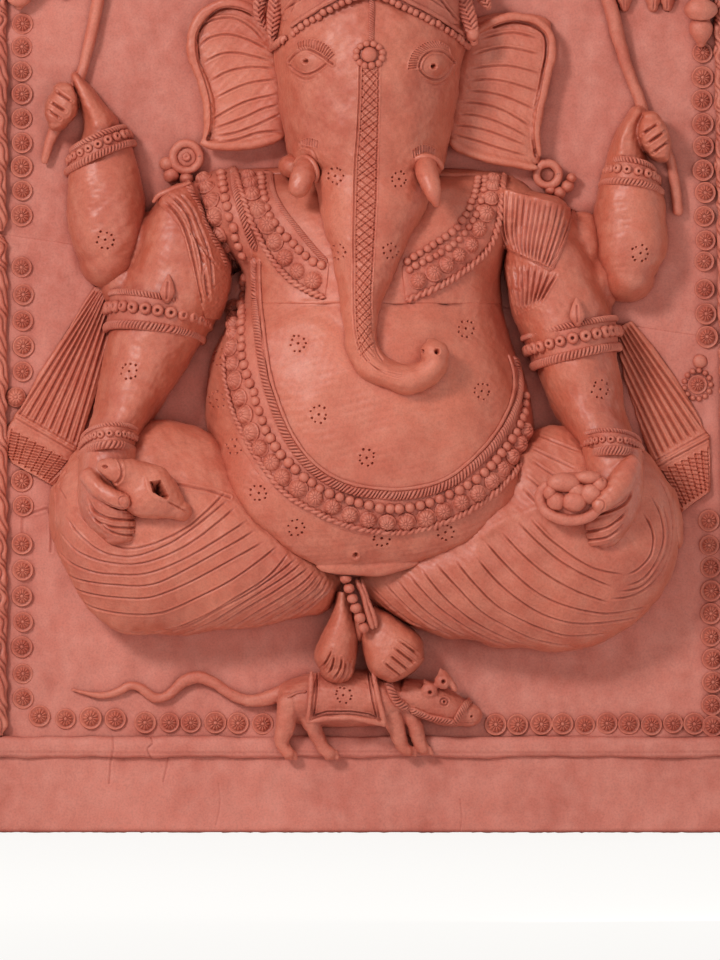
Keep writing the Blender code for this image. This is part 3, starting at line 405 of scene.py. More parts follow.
class Relief:
    """Lines and dots drawn on the plan, to be cut into or raised from the fronts of forms."""

    STEP = 0.5

    def __init__(self, low, high):
        self.low = np.array(low, float)
        size = ((np.array(high) - self.low) / self.STEP).astype(int) + 2
        self.height = np.zeros((size[0], size[1]))

    def window(self, low, high):
        first = np.clip(((low - self.low) / self.STEP).astype(int), 0, np.array(self.height.shape) - 1)
        last = np.clip(((high - self.low) / self.STEP).astype(int) + 2, 1, self.height.shape)
        xs = self.low[0] + np.arange(first[0], last[0]) * self.STEP
        zs = self.low[1] + np.arange(first[1], last[1]) * self.STEP
        return (slice(first[0], last[0]), slice(first[1], last[1])), xs[:, None], zs[None, :]

    def distances(self, path, reach):
        """The signed distance from a path, over the window round it."""
        where, xs, zs = self.window(path.min(0) - reach, path.max(0) + reach)
        near = np.full((xs.size, zs.size), 1e3)
        side = np.ones_like(near)
        for p, q in zip(path, path[1:]):
            low, high = np.minimum(p, q) - reach, np.maximum(p, q) + reach
            i = slice(*np.searchsorted(xs[:, 0], (low[0], high[0])))
            j = slice(*np.searchsorted(zs[0], (low[1], high[1])))
            dx, dz = xs[i] - p[0], zs[:, j] - p[1]
            ux, uz = q - p
            length = max(ux * ux + uz * uz, 1e-9)
            t = np.clip((dx * ux + dz * uz) / length, 0, 1)
            distance = np.hypot(dx - t * ux, dz - t * uz)
            closer = distance < near[i, j]
            near[i, j] = np.where(closer, distance, near[i, j])
            side[i, j] = np.where(closer, np.sign(ux * dz - uz * dx), side[i, j])
        return where, xs, zs, near, side

    def line(self, points, width=1.2, depth=1.2, lip=0.3, step=0.0, fade=0.0, smooth=True):
        """A groove along the points, with a raised lip; step lifts the ground on its left."""
        path = curve(points, 2.5) if smooth and len(points) > 2 else np.asarray(points, float)
        where, xs, zs, near, side = self.distances(path, width * 6 if step else width * 3.6)
        lift = -depth * np.exp(-((near / width) ** 2))
        lift += lip * depth * np.exp(-(((near - 2.1 * width) / (0.9 * width)) ** 2))
        if step:
            lift += step * np.clip(near / width, 0, 1) * np.exp(-near / (2.2 * width)) * (side > 0)
        if fade:
            ends = [np.hypot(xs - x, zs - z) for x, z in (path[0], path[-1])]
            lift *= np.clip(np.minimum(*ends) / fade, 0.12, 1)
        self.height[where] += lift

    def ridge(self, points, width, height, smooth=True):
        path = curve(points, 2.5) if smooth and len(points) > 2 else np.asarray(points, float)
        where, _, _, near, _ = self.distances(path, width * 2.6)
        self.height[where] += height * np.exp(-((near / width) ** 2))

    def dot(self, x, z, radius, depth, lip=0.2):
        place = np.array([x, z], float)
        where, xs, zs = self.window(place - radius * 3, place + radius * 3)
        near = np.hypot(xs - x, zs - z) / radius
        lift = -depth * np.exp(-(near**4)) + lip * np.exp(-(((near - 1.5) / 0.4) ** 2))
        self.height[where] += lift

    def pit(self, points, depth, slope=1.5):
        """A steep-walled hole with its outline through the points."""
        path = np.asarray(list(points) + [points[0]], float)
        where, xs, zs, near, _ = self.distances(path, slope)
        inside = np.zeros(near.shape, bool)
        for (px, pz), (qx, qz) in zip(path, path[1:]):
            if pz != qz:
                crosses = (pz > zs) != (qz > zs)
                inside ^= crosses & (xs < px + (zs - pz) / (qz - pz) * (qx - px))
        self.height[where] -= depth * np.clip(near / slope, 0, 1) * inside

    def cluster(self, x, z, radius=9.5, count=9):
        """A ring of awl holes round one."""
        chance = np.random.RandomState(int(abs(x) * 7 + abs(z)))
        self.dot(x, z, 1.35, 3.2)
        for i in range(count):
            angle = 2 * math.pi * i / count + chance.uniform(-0.16, 0.16)
            reach = radius * chance.uniform(0.86, 1.12)
            size = chance.uniform(1.0, 1.4)
            self.dot(x + reach * math.cos(angle), z + reach * math.sin(angle), size, 3.0)

    def sample(self, points):
        place = (points[:, :2] - self.low) / self.STEP
        place = np.clip(place, 0, np.array(self.height.shape) - 1.001)
        i, j = place.astype(int).T
        u, v = (place - np.floor(place)).T
        h = self.height
        return (
            h[i, j] * (1 - u) * (1 - v)
            + h[i + 1, j] * u * (1 - v)
            + h[i, j + 1] * (1 - u) * v
            + h[i + 1, j + 1] * u * v
        )

    def busy(self):
        """Where anything is drawn, and a little round it."""
        drawn = np.abs(self.height) > 0.06
        for shift in (1, 2):
            for axis in (0, 1):
                drawn = drawn | np.roll(drawn, shift, axis) | np.roll(drawn, -shift, axis)
        return drawn

    def marks(self, points, drawn):
        place = np.round((points[:, :2] - self.low) / self.STEP).astype(int)
        inside = ((place >= 0) & (place < self.height.shape)).all(1)
        place = np.clip(place, 0, np.array(self.height.shape) - 1)
        return drawn[place[:, 0], place[:, 1]] & inside


def refined(shape, relief, levels=1, reach=1.5):
    """Finer faces wherever the relief is drawn on the front."""
    drawn = relief.busy()
    grow = int(reach / Relief.STEP)
    for axis in (0, 1):
        drawn = drawn | np.roll(drawn, grow, axis) | np.roll(drawn, -grow, axis)
    mesh = mesh_of(shape, "refined")
    bm = bmesh.new()
    bm.from_mesh(mesh)
    for _ in range(levels):
        bm.verts.ensure_lookup_table()
        co = np.array([v.co for v in bm.verts]) / MM
        points = np.column_stack([co[:, 0], co[:, 2] + HANG, -co[:, 1] - SLAB])
        marked = relief.marks(points, drawn)
        edges = set()
        for face in bm.faces:
            if face.normal.y < -0.05 and any(marked[v.index] for v in face.verts):
                edges.update(face.edges)
        bmesh.ops.subdivide_edges(bm, edges=list(edges), cuts=1, use_grid_fill=True)
        bmesh.ops.triangulate(bm, faces=[f for f in bm.faces if len(f.verts) > 4])
        bm.normal_update()
        bm.verts.index_update()
    return finished(bm, mesh)


def relief_over(shape, margin):
    """An empty relief over the plan of a shape."""
    flat = shape.points[:, :2]
    return Relief(flat.min(0) - margin, flat.max(0) + margin)


def cut(shape, relief):
    """The shape with the relief pressed into whatever faces the front."""
    normals = normals_of(shape)
    facing = np.clip((normals[:, 2] - 0.02) / 0.3, 0, 1)
    return Shape(shape.points + normals * (relief.sample(shape.points) * facing)[:, None], shape.faces)


def carved(shape, relief, levels=1, reach=1.5):
    """The shape with the relief cut into faces made fine enough for it."""
    return cut(refined(shape, relief, levels, reach), relief)


# Ornament that is luted onto other forms

FLAT = np.array([0, 0, 1.0])


class Ground:
    """The fronts of finished forms, to set ornament on."""

    def __init__(self, shapes):
        whole = joined(shapes)
        faces = [[c for c in face if c >= 0] for face in whole.faces.tolist()]
        self.tree = BVHTree.FromPolygons(whole.points.tolist(), faces)

    def touch(self, x, z):
        """The point of the ground at a place, and its normal; bare slab where nothing stands."""
        place, normal, _, _ = self.tree.ray_cast(Vector((x, z, 400)), Vector((0, 0, -1)))
        if place is None or place.z < 0:
            return np.array([x, z, 0.0]), np.array([0, 0, 1.0])
        return np.array(place), np.array(normal)

    def path(self, points, pitch, even):
        """Places and normals along a line on the ground, the bumps under it evened out."""
        flat = curve(points, pitch)
        found = [self.touch(x, z) for x, z in flat]
        places = np.array([p for p, _ in found])
        normals = np.array([n for _, n in found])
        for _ in range(even):
            places[1:-1, 2] = (places[:-2, 2] + 2 * places[1:-1, 2] + places[2:, 2]) / 4
            normals[1:-1] = normals[:-2] + 2 * normals[1:-1] + normals[2:]
            normals = unit(normals)
        return places, normals


def spaced(places, normals, pitch):
    """The path thinned to one place per pitch."""
    along = lengths_along(places)
    count = max(1, int(round(along[-1] / pitch)))
    at = (np.arange(count) + 0.5) * along[-1] / count
    spots = np.column_stack([np.interp(at, along, places[:, i]) for i in range(3)])
    leans = np.column_stack([np.interp(at, along, normals[:, i]) for i in range(3)])
    return spots, unit(leans)


def stamped(template, place, normal, size=1.0, turn=0.0, lift=0.0):
    """A template with its own axis turned to the normal at a place."""
    normal = normal / np.linalg.norm(normal)
    side = np.cross([0, 1.0, 0.02], normal)
    side /= np.linalg.norm(side)
    other = np.cross(normal, side)
    c, s = math.cos(turn), math.sin(turn)
    axes = np.array([side * c + other * s, other * c - side * s, normal])
    return Shape(template.points * size @ axes + place + normal * lift, template.faces)


def turned(profile, around=16):
    """A form turned about its own axis from (radius, height) pairs, base first."""
    angle = circle(around)
    rings = [
        np.column_stack([r * np.cos(angle), r * np.sin(angle), np.full(around, h)])
        for r, h in profile
    ]
    return skin(rings)


def ball(around, squash):
    """A ball of one unit, flat at the back."""
    angles = np.radians([-60, -35, -10, 15, 38, 58, 75, 86])
    return turned([(math.cos(a), math.sin(a) * squash) for a in angles], around)


def pierced_ball(hole=0.27, around=18):
    """A flattened bead of one unit with an awl hole in its middle."""
    profile = [(0.80, -0.5), (1.0, -0.1), (0.97, 0.25), (0.80, 0.55), (0.58, 0.68), (0.42, 0.66)]
    return turned(profile + [(hole, 0.5), (hole * 0.8, 0.1), (hole * 0.5, 0)], around)


def lobe(x, z, depth, rx, rz, rd, around=36):
    """A rounded lump."""
    angles = np.radians(np.linspace(-84, 84, 17))
    t = circle(around)
    rings = [
        np.column_stack([
            x + rx * math.cos(a) * np.cos(t),
            np.full(around, z + rz * math.sin(a)),
            depth + rd * math.cos(a) * np.sin(t),
        ])
        for a in angles
    ]
    return skin(rings)


def bloom(petals=11, around=66):
    """A pressed ball of clay, one unit wide: a thin rim, and a dome grooved like a closed flower."""
    profile = [
        (1.00, -0.40, 0), (1.05, -0.05, 0), (1.04, 0.10, 0), (0.98, 0.19, 0.2), (0.91, 0.20, 0.5),
        (0.85, 0.34, 0.9), (0.76, 0.51, 1), (0.63, 0.65, 1), (0.48, 0.75, 1), (0.35, 0.79, 0.9),
        (0.25, 0.75, 0.5), (0.19, 0.71, 0), (0.14, 0.78, 0), (0.07, 0.84, 0),
    ]
    angle = circle(around)
    share = petals * angle / (2 * math.pi)
    groove = np.exp(-(((share - np.round(share)) / 0.17) ** 2))
    rings = [
        np.column_stack([reach * np.cos(angle), reach * np.sin(angle), rise - 0.11 * part * groove])
        for reach, rise, part in profile
    ]
    return skin(rings)


def rosette(height=0.42, petals=12, around=60):
    """A stamped button, one unit wide: broad rim, moat, and a dome of narrow petals round a centre."""
    profile = [
        (0.98, -0.30, 0), (1.01, 0.20, 0), (1.00, 0.42, 0), (0.95, 0.53, 0), (0.90, 0.52, 0),
        (0.84, 0.42, 0), (0.75, 0.36, 0), (0.69, 0.36, 0.2), (0.64, 0.60, 0.9), (0.56, 0.92, 1),
        (0.44, 1.13, 1), (0.31, 1.24, 0.9), (0.22, 1.12, 0.5), (0.17, 1.05, 0), (0.12, 1.28, 0),
        (0.05, 1.34, 0),
    ]
    angle = circle(around)
    wave = np.cos(petals * angle)
    rings = []
    for reach, rise, share in profile:
        lift = height * rise + height * 0.24 * share * wave
        rings.append(np.column_stack([reach * np.cos(angle), reach * np.sin(angle), lift]))
    return skin(rings)


def frames_along(places, normals):
    """The directions to the side and up from the ground, at each place of a path."""
    along = np.gradient(places, axis=0)
    along /= np.maximum(np.linalg.norm(along, axis=1, keepdims=True), 1e-9)
    side = np.cross(along, normals)
    side /= np.maximum(np.linalg.norm(side, axis=1, keepdims=True), 1e-9)
    return side, np.cross(side, along)


def rope(places, normals, radius, turn_length, strands=2, flat=0.85, sides=18, seed=0, sink=0.45):
    """A twisted rope of clay laid along a path, its ends pinched."""
    side, up = frames_along(places, normals)
    along = lengths_along(places)
    angle = circle(sides)
    turns = 2 * math.pi * along / turn_length
    turns += 0.35 * wobble(along[:, None], 40, seed)
    half = math.sin(math.pi / strands)
    offset, fat = (0.42, 0.60) if strands == 2 else (1 / (1 + half), half / (1 + half))
    reach = np.full((len(places), sides), 0.3 if strands == 2 else 0.66)
    for strand in range(strands):
        phase = angle[None, :] - turns[:, None] - 2 * math.pi * strand / strands
        inside = fat**2 - (offset * np.sin(phase)) ** 2
        hit = offset * np.cos(phase) + np.sqrt(np.maximum(inside, 0))
        reach = np.maximum(reach, np.where(inside > 0, hit, 0))
    taper = np.clip(np.minimum(along, along[-1] - along) / radius, 0.25, 1) ** 0.5
    size = radius * taper * (1 + 0.06 * wobble(along[:, None], 30, seed + 5))
    reach = reach * size[:, None]
    across = reach * np.cos(angle)
    rise = reach * np.sin(angle) * flat + (radius * flat * (1 - sink))
    rings = places[:, None, :] + side[:, None, :] * across[..., None] + up[:, None, :] * rise[..., None]
    return skin(rings)


def notched_band(places, normals, width, height, notch, seed, lean=0.6, depth=0.6, way=1):
    """A flattened cord whose front is pressed with narrow slanted notches."""
    side, up = frames_along(places, normals)
    along = lengths_along(places)
    share = np.linspace(0, math.pi, 17)
    across = np.cos(share) * width / 2
    crown = np.sin(share) ** 0.7
    phase = (along[:, None] + way * lean * across[None, :]) / notch
    phase = phase + 0.12 * wobble(along[:, None], 35, seed)[:, None]
    tooth = 1 - np.exp(-(((phase - np.round(phase)) / 0.18) ** 2))
    taper = np.clip(np.minimum(along, along[-1] - along) / width * 2, 0.2, 1)[:, None] ** 0.5
    rise = height * crown[None, :] * (1 - depth + depth * tooth) * taper
    rings = places[:, None, :] + side[:, None, :] * (across * taper)[..., None]
    rings = rings + up[:, None, :] * rise[..., None]
    foot = [places + side * w * width / 2 * 0.9 - up * 3 for w in (-1, 1)]
    return skin(np.concatenate([rings, np.stack(foot, axis=1)], axis=1))


# Materials


# Stops of (place, shade) of painted shade: darker in hollows and in tight corners where nearby forms cut
# off the light, a little lighter on sharp ridges
PAINTED_HOLLOW_SHADE_STOPS = (
    (0.40, (0.50, 0.36, 0.34)), (0.485, (0.93, 0.88, 0.87)),
    (0.50, (1.0, 1.0, 1.0)), (0.56, (1.07, 1.09, 1.1)),
)
# Painted shade in tight corners: the occlusion tint and how far it looks for nearby forms
PAINTED_CREVICE_SHADE_STOPS = ((0.05, (0.20, 0.11, 0.10)), (0.30, (0.68, 0.47, 0.42)), (0.80, (1.0, 1.0, 1.0)))
PAINTED_SHADE_REACH = 0.014
SPECULAR = 0.55
COAT_ROUGHNESS = 0.36


def clay_material(name, light, dark, dust, roughness, grain=1.0, burnish=0.0):
    """Fired, unglazed clay: mottled, with painted shade in its hollows and tight corners, dusty where it is
    rubbed.
    """
    material = bpy.data.materials.new(name)
    material.use_nodes = True
    tree = material.node_tree
    nodes, links = tree.nodes, tree.links
    shader = nodes["Principled BSDF"]
    coordinates = nodes.new("ShaderNodeTexCoord")

    def noise(scale, detail, rough=0.55):
        node = nodes.new("ShaderNodeTexNoise")
        node.inputs["Scale"].default_value = scale
        node.inputs["Detail"].default_value = detail
        node.inputs["Roughness"].default_value = rough
        links.new(coordinates.outputs["Object"], node.inputs["Vector"])
        return node.outputs["Fac"]

    def ramp(source, *stops):
        node = nodes.new("ShaderNodeValToRGB")
        elements = node.color_ramp.elements
        while len(elements) < len(stops):
            elements.new(0.5)
        for element, (place, value) in zip(elements, stops):
            element.position = place
            element.color = (*value, 1) if isinstance(value, tuple) else (value, value, value, 1)
        links.new(source, node.inputs["Fac"])
        return node.outputs["Color"]

    def mix(kind, share, first, second):
        node = nodes.new("ShaderNodeMix")
        node.data_type = "RGBA"
        node.blend_type = kind
        for value, index in ((share, 0), (first, 6), (second, 7)):
            socket = node.inputs[index]
            if isinstance(value, bpy.types.NodeSocket):
                links.new(value, socket)
            elif isinstance(value, tuple):
                socket.default_value = (*value, 1)
            else:
                socket.default_value = value
        return node.outputs[2]

    def bump(strength, distance, height, under=None):
        node = nodes.new("ShaderNodeBump")
        node.inputs["Strength"].default_value = strength * grain
        node.inputs["Distance"].default_value = distance
        links.new(height, node.inputs["Height"])
        if under:
            links.new(under, node.inputs["Normal"])
        return node.outputs["Normal"]

    patches = ramp(noise(7.5, 5), (0.36, 0.0), (0.66, 1.0))
    colour = mix("MIX", patches, light, dark)
    firing = ramp(noise(2.6, 2), (0.38, (0.91, 0.86, 0.85)), (0.62, (1.05, 1.08, 1.09)))
    colour = mix("MULTIPLY", 1.0, colour, firing)
    streaks = ramp(noise(42, 6, 0.65), (0.40, 0.0), (0.72, 0.55))
    colour = mix("MIX", streaks, colour, dust)
    specks = ramp(noise(430, 3, 0.6), (0.30, 0.86), (0.52, 1.0), (0.75, 1.07))
    colour = mix("MULTIPLY", 1.0, colour, specks)
    # Painted shade: darker where the surface is hollow, by its pointiness; a little lighter on sharp ridges
    geometry = nodes.new("ShaderNodeNewGeometry")
    hollows = ramp(geometry.outputs["Pointiness"], *PAINTED_HOLLOW_SHADE_STOPS)
    colour = mix("MULTIPLY", 1.0, colour, hollows)
    # Painted shade: darker where nearby forms close in round a place, by ambient occlusion
    shade_occlusion = nodes.new("ShaderNodeAmbientOcclusion")
    shade_occlusion.samples = 4
    shade_occlusion.inputs["Distance"].default_value = PAINTED_SHADE_REACH
    painted_crevice_shade = ramp(shade_occlusion.outputs["AO"], *PAINTED_CREVICE_SHADE_STOPS)
    colour = mix("MULTIPLY", 1.0, colour, painted_crevice_shade)
    links.new(colour, shader.inputs["Base Color"])
    sheen = ramp(noise(30, 4), (0.3, roughness - 0.07), (0.7, roughness + 0.09))
    links.new(sheen, shader.inputs["Roughness"])
    shader.inputs["Specular IOR Level"].default_value = SPECULAR
    shader.inputs["Coat Weight"].default_value = burnish
    shader.inputs["Coat Roughness"].default_value = COAT_ROUGHNESS
    coarse = bump(0.22, 0.0006, noise(260, 5, 0.6))
    links.new(bump(0.30, 0.0003, noise(1500, 3, 0.6), coarse), shader.inputs["Normal"])
    return material


SKIN = clay_material(
    "burnished_clay", light=(0.610, 0.168, 0.101), dark=(0.515, 0.117, 0.070), dust=(0.665, 0.250, 0.168),
    roughness=0.49, burnish=0.03,
)
POLISHED = clay_material(
    "polished_clay", light=(0.600, 0.158, 0.092), dark=(0.490, 0.104, 0.060), dust=(0.665, 0.250, 0.168),
    roughness=0.46, grain=0.8, burnish=0.13,
)
TRIM = clay_material(
    "worked_clay", light=(0.605, 0.172, 0.110), dark=(0.51, 0.122, 0.078), dust=(0.67, 0.258, 0.180),
    roughness=0.57, burnish=0.04,
)
PALE = clay_material(
    "slab_clay", light=(0.625, 0.212, 0.160), dark=(0.56, 0.165, 0.121), dust=(0.68, 0.290, 0.232),
    roughness=0.68, grain=1.3,
)


def piece(name, shape, material=SKIN, nodes=None):
    """Puts a shape in the scene in place of its CAD nodes, by default the one of its name."""
    mesh = mesh_of(shape, name + "_form")
    mesh.materials.append(material)
    obj = bpy.data.objects.new(name + "_form", mesh)
    bpy.context.scene.collection.objects.link(obj)
    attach(obj, "root")
    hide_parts(*(nodes or [name]))


def pair(name, shapes, material=SKIN):
    """The left and the right piece of a pair."""
    for side, shape in zip(("left", "right"), shapes):
        piece(f"{name}_{side}", shape, material)
    return shapes


for name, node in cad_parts.items():
    node.data.materials.clear()
    node.data.materials.append(PALE if name.startswith(("slab", "base_ridge")) else SKIN)


# The slab in two sections


def edge_x(side, z):
    return side * HALF_WIDTH + max(side, 0) * RIGHT_SPLAY * np.maximum(0, 1 - np.asarray(z) / SPRINGING)


ARCH_RADIUS = (HALF_WIDTH**2 + ARCH_RISE**2) / (2 * ARCH_RISE)
ARCH_CENTRE = HEIGHT - ARCH_RADIUS


def arch_z(x):
    return ARCH_CENTRE + np.sqrt(ARCH_RADIUS**2 - np.minimum(np.abs(x), HALF_WIDTH) ** 2)


def seam_z(x):
    return SEAM_LEFT + (SEAM_RIGHT - SEAM_LEFT) * (x + HALF_WIDTH) / (2 * HALF_WIDTH + 7)


VENTS = {"upper": [(10, 880), (0, 715)], "lower": [(70, 470), (-230, 380), (250, 370)]}
VENT_RADIUS = 14
SLAB_PITCH = 4.0
SEAM_CLEARANCE = 0.15
EDGE_REACH, EDGE_DROP = 4.2, 3.2
SEAM_REACH, SEAM_DROP = 2, 0.5
BACK_RISE = 1.2


def rim_shares(length):
    """Shares of a side, closer together near its ends."""
    near = np.array([0, 0.9, 2.2, 4.2, 7.5])
    margin = 11
    inner = np.linspace(margin, length - margin, max(3, int((length - 2 * margin) / SLAB_PITCH)))
    return np.concatenate([near, inner, length - near[::-1]]) / length


def slab_relief():
    """Scratches and the faint edges of patches on the lower section."""
    relief = Relief((-450, 0), (466, 720))
    for x, z, size in ((-233, 112, 1.0), (-170, 60, 0.6), (120, 40, 0.6)):
        relief.line([(x, z), (x + 2, z - 24), (x - 3, z - 50)], 1.1, 0.9 * size, 0.2)
    relief.line([(-404, 383), (-390, 385), (-373, 388), (-370, 362), (-371, 338)], 1.5, 1.0, 0.6)
    relief.line([(-404, 383), (-405, 366), (-404, 350)], 1.5, 0.7, 0.5, fade=6)
    relief.line([(-300, 111), (-299, 92), (-301, 60)], 1.2, 1.0)
    for x, z in ((-330, 220), (-150, 205), (150, 210), (360, 190), (300, 170), (-400, 240)):
        relief.ridge([(x - 30, z), (x + 10, z + 8), (x + 50, z + 4)], 9, 0.5)
    return relief


def slab(section):
    columns = rim_shares(2 * HALF_WIDTH)
    span = (SEAM_LEFT + SEAM_RIGHT) / 2 if section == "lower" else HEIGHT - SEAM_LEFT
    rows = rim_shares(span)
    s, t = np.meshgrid(columns, rows, indexing="ij")
    across = -HALF_WIDTH + 2 * HALF_WIDTH * s
    if section == "lower":
        bottom, top = np.zeros_like(across), seam_z(across) + SEAM_CLEARANCE
    else:
        bottom, top = seam_z(across) - SEAM_CLEARANCE, arch_z(across)
    z = bottom + (top - bottom) * t
    x = -HALF_WIDTH + s * (edge_x(1, z) + HALF_WIDTH)
    ends = t * (top - bottom), (1 - t) * (top - bottom)
    open_end, seam_end = ends if section == "lower" else ends[::-1]
    from_rim = np.minimum(np.minimum(s, 1 - s) * 2 * HALF_WIDTH, open_end)
    from_edge = np.minimum(from_rim, seam_end)
    round_off = np.maximum(
        EDGE_DROP * (1 - np.clip(from_rim / EDGE_REACH, 0, 1)) ** 2,
        SEAM_DROP * (1 - np.clip(seam_end / SEAM_REACH, 0, 1)) ** 2,
    )
    flat = np.column_stack([x.ravel(), z.ravel()])
    swell = wobble(flat, 150, 3) * 0.9 + wobble(flat, 62, 4) * 0.55 + wobble(flat, 24, 5) * 0.22
    front = np.column_stack([flat, swell - round_off.ravel()])
    rough = wobble(flat, 90, 13) * 0.8 + wobble(flat, 30, 14) * 0.5 + wobble(flat, 11, 15) * 0.3
    behind = -SLAB + BACK_RISE + np.clip(rough, -BACK_RISE, 1.5) + round_off.ravel() * 0.8
    back = np.column_stack([flat, behind])
    for vx, vz in VENTS[section]:
        away = flat - (vx, vz)
        reach = np.hypot(*away.T)
        near = np.abs(reach - VENT_RADIUS) < 2.3
        back[near, :2] = (vx, vz) + away[near] * (VENT_RADIUS / reach[near])[:, None]
    n, m = s.shape
    ragged = wobble(flat, 34, 21) * 0.7 + wobble(flat, 12, 22) * 0.4
    border = from_edge.ravel() < 0.01
    inward = np.column_stack([np.sign(0.5 - s.ravel()) * (np.minimum(s, 1 - s).ravel() < 1e-6),
                              np.sign(0.5 - t.ravel()) * (np.minimum(t, 1 - t).ravel() < 1e-6)])
    inward[(t.ravel() > 1 - 1e-6) if section == "lower" else (t.ravel() < 1e-6), 1] = 0
    push = np.abs(ragged)[:, None] * inward * border[:, None]
    front[:, :2] += push
    back[:, :2] += push * 1.3
    faces_front = grid_faces(n, m, False)
    index = np.arange(n * m).reshape(n, m)
    loop = np.concatenate([index[:-1, 0], index[-1, :-1], index[:0:-1, -1], index[0, :0:-1]])
    count = n * m
    points = [front, back]
    previous = loop
    sides = []
    start = 2 * count
    for level in np.linspace(0, 1, 7)[1:-1]:
        ring = front[loop] * (1 - level) + back[loop] * level
        uneven = inward[loop] * (0.4 + 0.3 * wobble(ring, 16, 31))[:, None]
        ring[:, :2] += uneven * math.sin(math.pi * level)
        points.append(ring)
        current = start + np.arange(len(loop))
        sides.append(np.column_stack([previous, np.roll(previous, -1), np.roll(current, -1), current]))
        previous, start = current, start + len(loop)
    last = loop + count
    sides.append(np.column_stack([previous, np.roll(previous, -1), np.roll(last, -1), last]))
    back_faces = faces_front[:, ::-1] + count
    middle = np.concatenate(points)[back_faces].mean(1)
    open_faces = np.ones(len(back_faces), bool)
    for vx, vz in VENTS[section]:
        open_faces &= np.hypot(middle[:, 0] - vx, middle[:, 1] - vz) > VENT_RADIUS - 0.9
    shape = Shape(np.concatenate(points), np.concatenate([faces_front, back_faces[open_faces], *sides]))
    shape = deepened(shape, VENTS[section])
    if section == "upper":
        return shape
    relief = slab_relief()
    return carved(shape, relief, 2, 3)


def deepened(shape, vents):
    """Pushes the round openings of the back on into the hollow forms, as blind vents."""
    mesh = mesh_of(shape, "vents")
    bm = bmesh.new()
    bm.from_mesh(mesh)
    bmesh.ops.recalc_face_normals(bm, faces=bm.faces)
    for vx, vz in vents:
        centre = Vector((vx * MM, 0, (vz - HANG) * MM))
        near = {v for v in bm.verts if abs((v.co - centre).xz.length - VENT_RADIUS * MM) < 0.004}
        rim = [e for e in bm.edges if e.is_boundary and all(v in near for v in e.verts)]
        for depth in (0.004, 0.014, 0.030):
            made = bmesh.ops.extrude_edge_only(bm, edges=rim)["geom"]
            rim = [g for g in made if isinstance(g, bmesh.types.BMEdge)]
            for vert in {v for e in rim for v in e.verts}:
                away = (vert.co - centre).xz.normalized() * VENT_RADIUS * MM * 0.96
                vert.co.x, vert.co.z = centre.x + away.x, centre.z + away.y
                vert.co.y = -depth
        bmesh.ops.holes_fill(bm, edges=rim, sides=0)
    bmesh.ops.triangulate(bm, faces=[f for f in bm.faces if len(f.verts) > 4])
    bmesh.ops.recalc_face_normals(bm, faces=bm.faces)
    return finished(bm, mesh)


# Torso from the shoulders down: (left x, left z, right x, right z, share of the full depth)
TORSO = [
    (-188, 790, 186, 788, 0.16),
    (-206, 777, 202, 776, 0.37),
    (-217, 760, 213, 761, 0.50),
    (-204, 735, 206, 737, 0.61),
    (-166, 703, 184, 706, 0.68),
    (-141, 672, 170, 672, 0.73),
    (-140, 635, 170, 635, 0.77),
    (-164, 600, 177, 600, 0.86),
    (-179, 560, 191, 563, 0.93),
    (-185, 520, 204, 523, 0.98),
    (-180, 478, 208, 480, 1.0),
    (-163, 430, 197, 430, 0.98),
    (-136, 385, 174, 385, 0.93),
    (-97, 348, 132, 350, 0.84),
    (-52, 322, 72, 326, 0.70),
]
BELLY_BACK = [(322, 98), (348, 104), (385, 102), (405, 95), (430, 75), (455, 40), (478, 12), (500, GAP)]
NECK = (0, 800)
LAP = (6, 309)
BELLY_MARKS = [(-74, 587), (-49, 502), (8, 450), (127, 605), (146, 530), (-150, 464), (-172, 519),
               (-168, 570), (-121, 408), (-76, 366), (26, 354), (102, 361)]


def torso():
    rows = curve(stations(TORSO, BELLY_DEPTH), 2.4)
    middle = (rows[:, 1] + rows[:, 3]) / 2
    rows[:, 4] = np.interp(middle, *np.array(BELLY_BACK, float).T)
    lower = rows[middle < SEAM_FIGURE - 1.4]
    upper = rows[middle > SEAM_FIGURE + 1.4]

    def edge_row(near, level, shrink):
        row = near.copy()
        row[[1, 3]] = level
        row[0] += shrink
        row[2] -= shrink
        row[5] -= shrink
        return row

    lower = np.vstack([edge_row(lower[0], SEAM_FIGURE - 0.2, 0.25), lower])
    rim, lip = edge_row(upper[-1], SEAM_FIGURE + 0.25, 0.25), edge_row(upper[-1], SEAM_FIGURE - 3, 1.2)
    upper = np.vstack([upper, rim, lip])
    relief = Relief((-200, 300), (215, 830))
    for x, z in BELLY_MARKS:
        relief.cluster(x, z)
    relief.dot(-5, 333, 3.2, 8, 0.4)
    belly = handled(skin(d_rings(capped(lower, end=LAP, steps=14), 170, fullness=2.3)), 41)
    away = np.hypot(belly.points[:, 0] + 5, belly.points[:, 1] - 333)
    navel = 4.8 * np.exp(-((away / 8.5) ** 2)) - 0.7 * np.exp(-((away / 18) ** 2))
    belly.points += normals_of(belly) * navel[:, None]
    belly = carved(belly, relief, 2)
    chest = handled(skin(d_rings(capped(upper, start=NECK, steps=14), 150, fullness=2.3)), 41)
    return belly, chest


LEG_LEFT = [
    (-22, 312, -24, 296, 0.45),
    (-40, 345, -40, 268, 0.66),
    (-80, 390, -78, 258, 0.84),
    (-130, 440, -130, 247, 0.95),
    (-180, 480, -198, 240, 1.0),
    (-225, 495, -250, 238, 1.0),
    (-262, 495, -290, 243, 0.97),
    (-308, 480, -325, 268, 0.90),
    (-342, 455, -350, 312, 0.77),
    (-364, 420, -364, 350, 0.56),
]
LEG_RIGHT = [
    (0, 312, 2, 296, 0.45),
    (25, 340, 28, 264, 0.66),
    (75, 380, 83, 240, 0.84),
    (130, 430, 138, 229, 0.95),
    (180, 470, 193, 221, 1.0),
    (225, 487, 248, 218, 1.0),
    (265, 488, 290, 228, 0.97),
    (312, 475, 335, 257, 0.90),
    (350, 450, 366, 295, 0.77),
    (373, 415, 381, 342, 0.56),
]
KNEES = [(-372, 386), (386, 376)]
